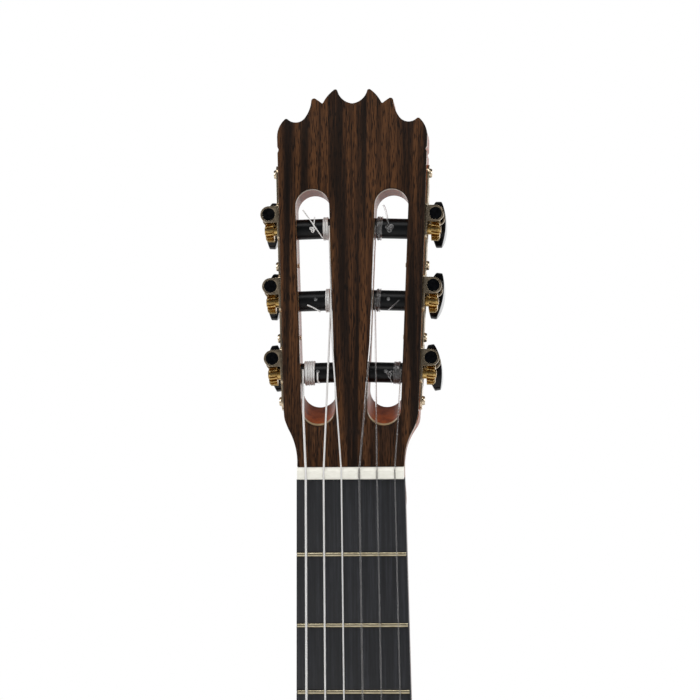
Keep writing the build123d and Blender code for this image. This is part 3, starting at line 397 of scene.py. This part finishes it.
def wound_silver():
    """Silvered wire wrapped round the string: bands across it that dip between the wraps, painted darker in the
    dips as shade.
    """
    material, tree, shader = new_finish("silvered_wire_wound", Metallic=0.35, Roughness=0.35)
    place = object_space(tree, (1, 1, WINDING_SHOWN_MM))
    wave = add(tree, "ShaderNodeTexWave", {"Vector": place, "Scale": WAVE_OF_ONE_CELL}, bands_direction="Z")
    # painted shade: the colour darkens where the wave dips between the wraps and lightens on the crests
    ramp = add(tree, "ShaderNodeValToRGB", {0: wave.outputs["Color"]}, [
        (0.1, linear("c4c2c0")), (0.6, linear("f8f7f5"))])
    relief = add(tree, "ShaderNodeBump", {
        "Height": wave.outputs["Color"], "Distance": WRAP_DEPTH_MM * MM, "Strength": 0.6})
    tree.links.new(ramp.outputs[0], shader.inputs["Base Color"])
    tree.links.new(relief.outputs[0], shader.inputs["Normal"])
    return material


others = {
    "bone": speckled("bone_sanded_and_polished", [(0.3, "f0eee2"), (0.7, "fbf9ef")], (3, 3, 1.5), 0.01,
                     Roughness=0.4),
    "roller": speckled("black_acetal_roller_turned", [(0.3, "050607"), (0.7, "0c0d0f")], (0.25, 3, 3), 0.03,
                       Roughness=0.34, Specular_IOR_Level=0.22),
    "button": speckled("black_plastic_button_polished", [(0.3, "040405"), (0.7, "08080a")], (4, 4, 4), 0.01,
                       Roughness=0.12, Specular_IOR_Level=0.22),
    "nylon": speckled("clear_nylon_drawn", [(0.3, "e6e4e4"), (0.7, "f4f3f3")], (1, 1, 12), 0.005,
                      Roughness=0.1, IOR=1.45, Transmission_Weight=0.93),
    "silver": wound_silver(),
}
print(len(others), "other finishes")

# %% [markdown]
# ## Finishes on the frame's own parts
# A part whose shape is already right only needs its finish. The record's slot names say what each part
# is made of; where one slot covers parts cut in different directions, the part's own name decides.

# %% Finishes on the parts
finish_of_slot = {
    "rosewood": woods["rosewood_head"], "cedar": woods["cedar"], "veneer": woods["maple"],
    "ebony": woods["ebony"], "spruce": woods["spruce"], "brace_spruce": woods["brace"],
    "willow": woods["willow"], "mosaic": woods["rosewood_bridge"], "purfling_wood": woods["black_veneer"],
    "bone": others["bone"], "fret_wire": metals["fret"], "machine_plate": metals["plate"],
    "plate_screw": metals["screw"], "wheel_brass": metals["wheel"], "worm_steel": metals["worm"],
    "roller_black": others["roller"], "button_black": others["button"], "wound_string": others["silver"],
    "nylon": others["nylon"],
}
finish_of_part = {
    "back_plate": woods["rosewood_back"], "ribs": woods["rosewood_ribs"],
    "bridge": woods["rosewood_bridge"],
    "edge_bindings": woods["rosewood_binding"],
}
slot_of_part = {name: part.data.materials[0].name for name, part in nodes.items()}


def finish_for(name):
    """The finish of a part, by its own name first and then by its slot."""
    return finish_of_part.get(name) or finish_of_slot[slot_of_part[name]]


for name, part in nodes.items():
    part.material_slots[0].material = finish_for(name)
print("parts finished:", len(nodes))

# %% [markdown]
# ## Eased edges
# Nothing on a guitar ends in a perfectly sharp edge: lacquered wood is rounded by sanding and plates by
# polishing, and it is the thin bright line on that rounding that shows the shape. The CAD edges are
# exact, so a welded copy of each part is bevelled by a few tenths of a millimetre and stands for the
# part.

# %% Eased edges
bodies = frame["record"]["behaviour"]["bodies"]
body_of_part = {part: body for body, parts in bodies.items() for part in parts}
SHARP_EDGE = math.radians(28)
FLAT_ENOUGH = math.radians(0.5)
WELD_DISTANCE = 0.002 * MM


def settle(piece, body, slot, *replaced):
    """Puts a new piece on its body, in place of CAD parts if it stands for any. The slot is not used."""
    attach(piece, body)
    if replaced:
        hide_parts(*replaced)


def as_plain_mesh(piece):
    """Applies a piece's modifiers: its evaluated shape becomes its mesh."""
    bpy.context.view_layer.update()
    shape = piece.evaluated_get(bpy.context.evaluated_depsgraph_get())
    mesh = bpy.data.meshes.new_from_object(shape)
    piece.modifiers.clear()
    piece.data = mesh


def eased(name, width_mm):
    """A welded copy of a CAD part with every sharp edge rounded by the given width."""
    piece = bpy.data.objects.new(name + "_eased", nodes[name].data.copy())
    bpy.context.scene.collection.objects.link(piece)
    shape = bmesh.new()
    shape.from_mesh(piece.data)
    bmesh.ops.remove_doubles(shape, verts=shape.verts, dist=WELD_DISTANCE)
    bmesh.ops.dissolve_limit(shape, angle_limit=FLAT_ENOUGH, verts=shape.verts, edges=shape.edges)
    for face in shape.faces:
        face.smooth = True
    shape.to_mesh(piece.data)
    shape.free()
    bevel = piece.modifiers.new("ease", "BEVEL")
    bevel.width = width_mm * MM
    bevel.segments = 3
    bevel.limit_method = "ANGLE"
    bevel.angle_limit = SHARP_EDGE
    bevel.harden_normals = True
    as_plain_mesh(piece)
    settle(piece, body_of_part[name], slot_of_part[name], name)


EASING_MM = {
    "head_faceplate": 0.8, "tuner_plate_bass": 0.3, "tuner_plate_treble": 0.3, "nut": 0.35, "saddle": 0.3,
    "bridge": 0.5, "fingerboard": 0.3, "tie_block_trim": 0.15,
}
for name, width_mm in EASING_MM.items():
    eased(name, width_mm)
print("eased parts:", len(EASING_MM))

# %% [markdown]
# ## What repeats
# Frets, string turns and mosaic tiles follow rules, so Geometry Nodes build them. Each tree has named
# inputs for its sizes, and ends by making its instances real and setting the finish. It is run on an
# empty mesh, and the result is kept as a plain mesh on the body that it rides on.

# %% Trees that build
SOCKETS = {int: "NodeSocketInt", float: "NodeSocketFloat", bpy.types.Material: "NodeSocketMaterial"}


def new_builder(name, **kinds):
    """A Geometry Nodes tree with one named input of each kind, and the sockets that give their values."""
    tree = bpy.data.node_groups.new(name, "GeometryNodeTree")
    tree.interface.new_socket("Geometry", in_out="INPUT", socket_type="NodeSocketGeometry")
    for label, kind in kinds.items():
        tree.interface.new_socket(label, in_out="INPUT", socket_type=SOCKETS[kind])
    tree.interface.new_socket("Geometry", in_out="OUTPUT", socket_type="NodeSocketGeometry")
    return tree, add(tree, "NodeGroupInput").outputs


def end_builder(tree, shape, finish):
    """Makes the tree's instances real and sets their finish."""
    real = add(tree, "GeometryNodeRealizeInstances", {0: shape})
    painted = add(tree, "GeometryNodeSetMaterial", {"Geometry": real.outputs[0], "Material": finish})
    add(tree, "NodeGroupOutput", {0: painted.outputs[0]})


def calculate(tree, operation, first, second=0.0):
    """The output of one arithmetic node."""
    return add(tree, "ShaderNodeMath", {0: first, 1: second}, operation=operation).outputs[0]


def build(name, tree, place=Matrix(), **sizes):
    """Runs a tree with its sizes and returns the result as a plain mesh, moved to its place."""
    piece = bpy.data.objects.new(name, bpy.data.meshes.new(name))
    bpy.context.scene.collection.objects.link(piece)
    maker = piece.modifiers.new("build", "NODES")
    maker.node_group = tree
    for socket in tree.interface.items_tree:
        if socket.name in sizes:
            maker[socket.identifier] = sizes[socket.name]
    as_plain_mesh(piece)
    piece.data.transform(place)
    if place.determinant() < 0:
        piece.data.flip_normals()
    return piece


print("tree helpers ready")

# %% [markdown]
# ### Frets
# Each fret shortens the string by the same ratio, the twelfth root of two, so its distance from the nut
# is the scale length times one minus that ratio's power. The crown is an elliptical bar that is sunk to
# its middle in the board, and it grows as long as the board is wide there.

# %% Frets
SCALE_LENGTH = 0.650
FRET_COUNT = 19
CROWN_WIDTH = 2.2 * MM
CROWN_HEIGHT = 1.0 * MM
BOARD_HALF_WIDTH = 0.0259
BOARD_SPREAD = 0.01077       # the half width grows by this share of the distance from the nut


def fret_builder():
    """Bars at twelfth-root distances down a board that widens."""
    tree, given = new_builder("frets_by_ratio", Count=int, Scale=float, Half=float, Spread=float,
                              Width=float, Height=float, Finish=bpy.types.Material)
    line = add(tree, "GeometryNodeMeshLine", {"Count": given["Count"], "Offset": (0, 0, 0)})
    number = calculate(tree, "ADD", add(tree, "GeometryNodeInputIndex").outputs[0], 1.0)
    power = calculate(tree, "POWER", 2.0, calculate(tree, "DIVIDE", number, -12.0))
    down = calculate(tree, "MULTIPLY", calculate(tree, "SUBTRACT", power, 1.0), given["Scale"])
    place = add(tree, "ShaderNodeCombineXYZ", {2: down})
    points = add(tree, "GeometryNodeSetPosition", {
        "Geometry": line.outputs[0], "Position": place.outputs[0]})
    bar = add(tree, "GeometryNodeCurvePrimitiveLine", {"Start": (-1, 0, 0), "End": (1, 0, 0)})
    ring = add(tree, "GeometryNodeCurvePrimitiveCircle", {"Resolution": 20, "Radius": 1.0})
    rod = add(tree, "GeometryNodeCurveToMesh", {
        "Curve": bar.outputs[0], "Profile Curve": ring.outputs[0], "Fill Caps": True})
    wider = calculate(tree, "MULTIPLY", calculate(tree, "MULTIPLY", down, -1.0), given["Spread"])
    half = calculate(tree, "ADD", given["Half"], wider)
    size = add(tree, "ShaderNodeCombineXYZ", {
        0: half, 1: given["Height"], 2: calculate(tree, "MULTIPLY", given["Width"], 0.5)})
    bars = add(tree, "GeometryNodeInstanceOnPoints", {
        "Points": points.outputs[0], "Instance": rod.outputs[0], "Scale": size.outputs[0]})
    end_builder(tree, bars.outputs[0], given["Finish"])
    return tree


frets = build("fret_crowns", fret_builder(), Count=FRET_COUNT, Scale=SCALE_LENGTH, Half=BOARD_HALF_WIDTH,
              Spread=BOARD_SPREAD, Width=CROWN_WIDTH, Height=CROWN_HEIGHT, Finish=finish_for("frets"))
settle(frets, "root", slot_of_part["frets"], "frets")
print("fret faces:", len(frets.data.polygons))

# %% [markdown]
# ### String turns on the rollers
# A string goes round its roller several times, each turn beside the last. The first turn is a closed
# ring, since the string that comes from the nut must meet the same shape whichever way the roller has
# been turned. The others are one helix, whose start and end are behind the roller.

# %% String turns
TURN_STEP = 2.04             # from one turn to the next, in wire radii: a hair more than touching


def turn_builder():
    """A closed ring and a helix beside it, both of one round wire."""
    tree, given = new_builder("string_turns", Turns=float, Coil=float, Wire=float,
                              Finish=bpy.types.Material)
    step = calculate(tree, "MULTIPLY", given["Wire"], TURN_STEP)
    length = calculate(tree, "MULTIPLY", given["Turns"], step)
    helix = add(tree, "GeometryNodeCurveSpiral", {
        "Resolution": 44, "Rotations": given["Turns"], "Start Radius": given["Coil"],
        "End Radius": given["Coil"], "Height": length})
    loop = add(tree, "GeometryNodeCurvePrimitiveCircle", {"Resolution": 44, "Radius": given["Coil"]})
    both = add(tree, "GeometryNodeJoinGeometry", {0: [helix.outputs[0], loop.outputs[0]]})
    wire = add(tree, "GeometryNodeCurvePrimitiveCircle", {"Resolution": 12, "Radius": given["Wire"]})
    wound = add(tree, "GeometryNodeCurveToMesh", {
        "Curve": both.outputs[0], "Profile Curve": wire.outputs[0], "Fill Caps": True})
    smooth = add(tree, "GeometryNodeSetShadeSmooth", {0: wound.outputs[0]})
    end_builder(tree, smooth.outputs[0], given["Finish"])
    return tree


STRING_RADIUS_MM = {1: 0.355, 2: 0.41, 3: 0.51, 4: 0.37, 5: 0.45, 6: 0.55}
TURNS = {1: 5, 2: 3, 3: 3, 4: 4, 5: 3, 6: 5}
WOUND_OUTWARD = {1: -1, 2: 1, 3: 1, 4: 1, 5: 1, 6: -1}
ROLLER_RADIUS_MM = 4.92


def tuner_axes(number):
    """A tuner's origin on the head's side, and its outward, upward and forward directions."""
    roller = joints["roller_turn_%d" % number]
    origin = Vector(roller["pos_m"])
    out = Vector(roller["axis"]).normalized()
    front = Vector(joints["button_turn_%d" % number]["axis"]).normalized()
    up = front.cross(out)
    if up.z < 0:
        up.negate()
    return origin, out, up, front


def wind_string(number, tree):
    """The turns of one string, in place of its plain sleeve."""
    part = "string_%d_winding" % number
    origin, out, up, front = tuner_axes(number)
    along = [(vertex.co - origin).dot(out) for vertex in nodes[part].data.vertices]
    wire = STRING_RADIUS_MM[number] * MM
    toward = out * WOUND_OUTWARD[number]
    first = min(along) + wire if WOUND_OUTWARD[number] > 0 else max(along) - wire
    side = toward.cross(-front)
    place = Matrix((-front, side, toward)).transposed().to_4x4()
    place.translation = origin + out * first
    coil = ROLLER_RADIUS_MM * MM + wire
    piece = build("string_%d_turns" % number, tree, place, Turns=TURNS[number] - 1.0, Coil=coil, Wire=wire,
                  Finish=finish_for(part))
    settle(piece, body_of_part[part], slot_of_part[part], part)


turns = turn_builder()
for number in TURNS:
    wind_string(number, turns)
print("strings wound:", len(TURNS))

# %% [markdown]
# ### Knots and tails
# Where a string is tied through its roller it leaves a small knot and a cut tail, and no two are alike.
# These lie freely, so each is a smooth curve through a few points that are given from the roller's
# axis: across the head, up it, and in front of it. The knot is a trefoil, the simplest knot that a
# closed line can make.

# %% Knots and tails
TAILS_MM = {
    1: [[(18.5, -3.1, 5.9), (19.3, -4.4, 5.0), (19.4, -5.6, 4.0)]],
    2: [[(22.9, -0.8, 5.7), (20.5, -3.3, 6.0), (18.0, -5.6, 5.0)]],
    3: [[(14.8, 10.5, 5.0), (15.6, 9.4, 5.4), (16.7, 5.3, 5.8), (17.7, 1.0, 6.0)]],
    4: [[(-23.7, 8.7, 5.0), (-21.4, 5.2, 5.8), (-19.1, 1.7, 6.2), (-16.7, -2.0, 6.2), (-14.4, -5.5, 5.0)],
        [(-18.6, 0.4, 6.2), (-18.4, 1.9, 6.4), (-18.1, 4.9, 5.4)]],
    5: [[(-21.7, -2.9, 5.7), (-18.7, -4.0, 6.0), (-15.4, -6.3, 5.0)]],
    6: [[(-16.4, -0.7, 5.7), (-16.6, -3.4, 5.6), (-16.4, -5.2, 4.2), (-15.7, -5.5, 4.0)]],
}
KNOTS_MM = {1: (18.5, -1.4, 5.7, 1.9), 3: (18.2, -0.7, 5.7, 2.0), 4: (-19.1, -1.1, 6.0, 1.5)}
KNOT_POINTS = 24
KNOT_FLATNESS = 0.25         # how far the knot goes in and out, as a share of its size
TAIL_THICKNESS = 0.8         # a cut tail's radius, as a share of the string's


def strand(name, points, radius, finish, closed=False):
    """A round string along a smooth curve through the points, as a plain mesh."""
    line = bpy.data.curves.new(name, "CURVE")
    line.dimensions = "3D"
    line.bevel_depth = radius
    line.bevel_resolution = 3
    line.use_fill_caps = True
    spline = line.splines.new("NURBS")
    spline.points.add(len(points) - 1)
    for point, place in zip(spline.points, points):
        point.co = (*place, 1)
    spline.order_u = 3
    spline.use_endpoint_u = not closed
    spline.use_cyclic_u = closed
    spline.resolution_u = 8
    drawn = bpy.data.objects.new(name + "_line", line)
    mesh = bpy.data.meshes.new_from_object(drawn)
    bpy.data.objects.remove(drawn)
    mesh.materials.clear()
    mesh.materials.append(finish)
    piece = bpy.data.objects.new(name, mesh)
    bpy.context.scene.collection.objects.link(piece)
    return piece


def on_head(number, point_mm):
    """A point given in millimetres from a roller's axis: across, up the head and in front of it."""
    origin, out, up, front = tuner_axes(number)
    across, above, ahead = [value * MM for value in point_mm]
    return origin + out * ((across - origin.x) / out.x) + up * above + front * ahead


def trefoil(number, knot_mm):
    """A knot's centre line in front of its roller."""
    across, above, ahead, size = knot_mm
    points = []
    for step in range(KNOT_POINTS):
        turn = 2 * math.pi * step / KNOT_POINTS
        side = (math.sin(turn) + 2 * math.sin(2 * turn)) / 3 * size
        rise = (math.cos(turn) - 2 * math.cos(2 * turn)) / 3 * size
        depth = math.sin(3 * turn) * size * KNOT_FLATNESS
        points.append(on_head(number, (across + side, above + rise, ahead - depth)))
    return points


for number, tails in TAILS_MM.items():
    part = "string_%d_winding" % number
    thickness = STRING_RADIUS_MM[number] * MM * TAIL_THICKNESS
    for count, tail in enumerate(tails, 1):
        piece = strand("string_%d_tail_%d" % (number, count), [on_head(number, point) for point in tail],
                       thickness, finish_for(part))
        settle(piece, body_of_part[part], slot_of_part[part])
for number, knot in KNOTS_MM.items():
    part = "string_%d_winding" % number
    thickness = STRING_RADIUS_MM[number] * MM * TAIL_THICKNESS
    points = trefoil(number, knot)
    piece = strand("string_%d_knot" % number, points, thickness, finish_for(part), closed=True)
    settle(piece, body_of_part[part], slot_of_part[part])
print("knots:", len(KNOTS_MM))

# %% [markdown]
# ### Rosette
# The ring round the soundhole is a mosaic of square-cut veneer sticks, sliced and set in rows. Each
# tile's row and column come from its number. The middle rows repeat one stepped motif, and the rows
# beside them are plain lines. A tile carries its tone as a number, and the finish's ramp turns that
# into one of a few dyed woods.

# %% Rosette
ROSETTE_CENTRE_Z = -0.480
ROSETTE_INNER = 0.045
TILE = 0.001
TILE_ROWS = 16
TILE_COLUMNS = 330
MOTIF_COLUMNS = 10
MOTIF_HALF_ROWS = 4
SOUNDBOARD_Y = 0.006
ROSETTE_DEPTH = 0.0012
BOARD_END_Z = -0.4365
BOARD_END_HALF = 0.0307
DYED_WOODS = [
    (0.0, "17110e"), (0.18, "d8c08a"), (0.28, "6b2a1a"),
    (0.48, "e3cf9f"), (0.58, "2f3b24"), (0.78, "a8763c"),
]


def mosaic_finish():
    """Dyed veneer tiles: the tone number picks the wood, and noise varies it."""
    material, tree, shader = new_finish(
        "mosaic_dyed_veneer_gloss_lacquered", Roughness=0.4, Coat_Weight=0.9, Coat_Roughness=0.05)
    tone = add(tree, "ShaderNodeAttribute", attribute_name="tone").outputs["Fac"]
    stops = [(at, linear(code)) for at, code in DYED_WOODS]
    wood_of_tile = add(tree, "ShaderNodeValToRGB", {0: tone}, stops)
    wood_of_tile.color_ramp.interpolation = "CONSTANT"
    place = object_space(tree, (0.3, 0.3, 0.3))
    grain = add(tree, "ShaderNodeTexNoise", {"Vector": place, "Scale": 1.0})
    shade = add(tree, "ShaderNodeMapRange", {"Value": grain.outputs[0], "To Min": 0.8, "To Max": 1.15})
    colour = add(tree, "ShaderNodeVectorMath", {0: wood_of_tile.outputs[0], "Scale": shade.outputs[0]},
                 operation="SCALE")
    tree.links.new(colour.outputs[0], shader.inputs["Base Color"])
    relief = add(tree, "ShaderNodeBump", {
        "Height": grain.outputs[0], "Distance": 0.01 * MM, "Strength": 0.3})
    tree.links.new(relief.outputs[0], shader.inputs["Normal"])
    return material


def mosaic_builder():
    """Rows of tiles round a centre, without those that lie under the fingerboard."""
    tree, given = new_builder("mosaic_ring", Columns=int, Rows=int, Inner=float, Tile=float, Depth=float,
                              Finish=bpy.types.Material)
    total = calculate(tree, "MULTIPLY", given["Columns"], given["Rows"])
    line = add(tree, "GeometryNodeMeshLine", {"Count": total, "Offset": (0, 0, 0)})
    index = add(tree, "GeometryNodeInputIndex").outputs[0]
    column = calculate(tree, "MODULO", index, given["Columns"])
    row = calculate(tree, "FLOOR", calculate(tree, "DIVIDE", index, given["Columns"]))
    middle = calculate(tree, "MULTIPLY", calculate(tree, "SUBTRACT", given["Rows"], 1.0), 0.5)
    off_middle = calculate(tree, "ABSOLUTE", calculate(tree, "SUBTRACT", row, middle))
    step = calculate(tree, "DIVIDE", calculate(tree, "ADD", column, off_middle), float(MOTIF_COLUMNS))
    motif = calculate(tree, "FRACT", step)
    lines = calculate(tree, "FRACT", calculate(tree, "MULTIPLY", off_middle, 0.5))
    inside = calculate(tree, "LESS_THAN", off_middle, float(MOTIF_HALF_ROWS))
    tone = add(tree, "ShaderNodeMix", {0: inside, 2: lines, 3: motif})
    angle = calculate(tree, "MULTIPLY", calculate(tree, "DIVIDE", column, given["Columns"]), 2 * math.pi)
    rows_out = calculate(tree, "MULTIPLY", given["Tile"], calculate(tree, "ADD", row, 0.5))
    radius = calculate(tree, "ADD", given["Inner"], rows_out)
    across = calculate(tree, "MULTIPLY", radius, calculate(tree, "SINE", angle))
    above = calculate(tree, "MULTIPLY", radius, calculate(tree, "COSINE", angle))
    place = add(tree, "ShaderNodeCombineXYZ", {0: across, 2: above})
    points = add(tree, "GeometryNodeSetPosition", {
        "Geometry": line.outputs[0], "Position": place.outputs[0]})
    named = add(tree, "GeometryNodeStoreNamedAttribute", {
        "Geometry": points.outputs[0], "Name": "tone", "Value": tone.outputs[0]}, data_type="FLOAT")
    under_end = calculate(tree, "GREATER_THAN", above, BOARD_END_Z - ROSETTE_CENTRE_Z)
    in_width = calculate(tree, "LESS_THAN", calculate(tree, "ABSOLUTE", across), BOARD_END_HALF)
    shown = add(tree, "GeometryNodeDeleteGeometry", {
        "Geometry": named.outputs[0], "Selection": calculate(tree, "MULTIPLY", under_end, in_width)})
    tile = add(tree, "GeometryNodeMeshCube", {"Size": (1, 1, 1)})
    along = calculate(tree, "DIVIDE", calculate(tree, "MULTIPLY", radius, 2 * math.pi), given["Columns"])
    size = add(tree, "ShaderNodeCombineXYZ", {0: along, 1: given["Depth"], 2: given["Tile"]})
    turn = add(tree, "ShaderNodeCombineXYZ", {1: angle})
    tiles = add(tree, "GeometryNodeInstanceOnPoints", {
        "Points": shown.outputs[0], "Instance": tile.outputs[0], "Rotation": turn.outputs[0],
        "Scale": size.outputs[0]})
    end_builder(tree, tiles.outputs[0], given["Finish"])
    return tree


place = Matrix.Translation((0, SOUNDBOARD_Y + ROSETTE_DEPTH / 2, ROSETTE_CENTRE_Z))
mosaic = build("rosette_tiles", mosaic_builder(), place, Columns=TILE_COLUMNS, Rows=TILE_ROWS,
               Inner=ROSETTE_INNER, Tile=TILE, Depth=ROSETTE_DEPTH, Finish=mosaic_finish())
settle(mosaic, "root", slot_of_part["rosette"], "rosette")
print("tiles:", len(mosaic.data.polygons) // 6)

# %% [markdown]
# ### Ties at the bridge
# Behind the saddle each string goes through the tie block, comes back over it, passes under itself and
# is tucked under its own loop. The frame's string already runs through the block and over it. What is
# added is the loop round the strand in front of the block, and the end that lies across the block and
# is cut off.

# %% Ties at the bridge
TIE_LOOP_Z = -0.6565         # where the loop goes round the strand
TIE_LOW_Z = -0.661           # the strand over the tie block lies between these heights
TIE_HIGH_Z = -0.6572
TIE_TOP_Y = -0.0027
STRAND_Y = -0.0014
LOOP_REACH = 2.1             # the loop's radius round the strand, in string radii


def tie_points(number):
    """The loop round the strand and the tucked end, from where the frame's string stops."""
    places = [vertex.co for vertex in nodes["string_%d" % number].data.vertices]
    thick = STRING_RADIUS_MM[number] * MM
    over = [place for place in places if place.y < TIE_TOP_Y and TIE_LOW_Z < place.z < TIE_HIGH_Z]
    end = sum(over, Vector()) / len(over)
    end.z = TIE_LOOP_Z - 2 * MM
    middle = Vector((end.x - 1.4 * MM, STRAND_Y, TIE_LOOP_Z))
    reach = thick * LOOP_REACH
    return [
        end,
        end + Vector((0, 0, 1.4 * MM)),
        middle + Vector((reach, 0, 0)),
        middle + Vector((0, reach, 0)),
        middle - Vector((reach, 0, 0)),
        Vector((middle.x - reach, end.y, TIE_LOOP_Z - 2.5 * MM)),
        Vector((middle.x, end.y - thick * 2, TIE_LOOP_Z - 4 * MM)),
        Vector((end.x + thick * 2, end.y - thick, TIE_LOOP_Z - 5.5 * MM)),
        Vector((end.x + 5 * MM, end.y, TIE_LOOP_Z - 8 * MM)),
    ]


for number in TURNS:
    part = "string_%d" % number
    radius = STRING_RADIUS_MM[number] * MM
    piece = strand("string_%d_tie" % number, tie_points(number), radius, finish_for(part))
    settle(piece, "root", slot_of_part[part])
print("ties:", len(TURNS))
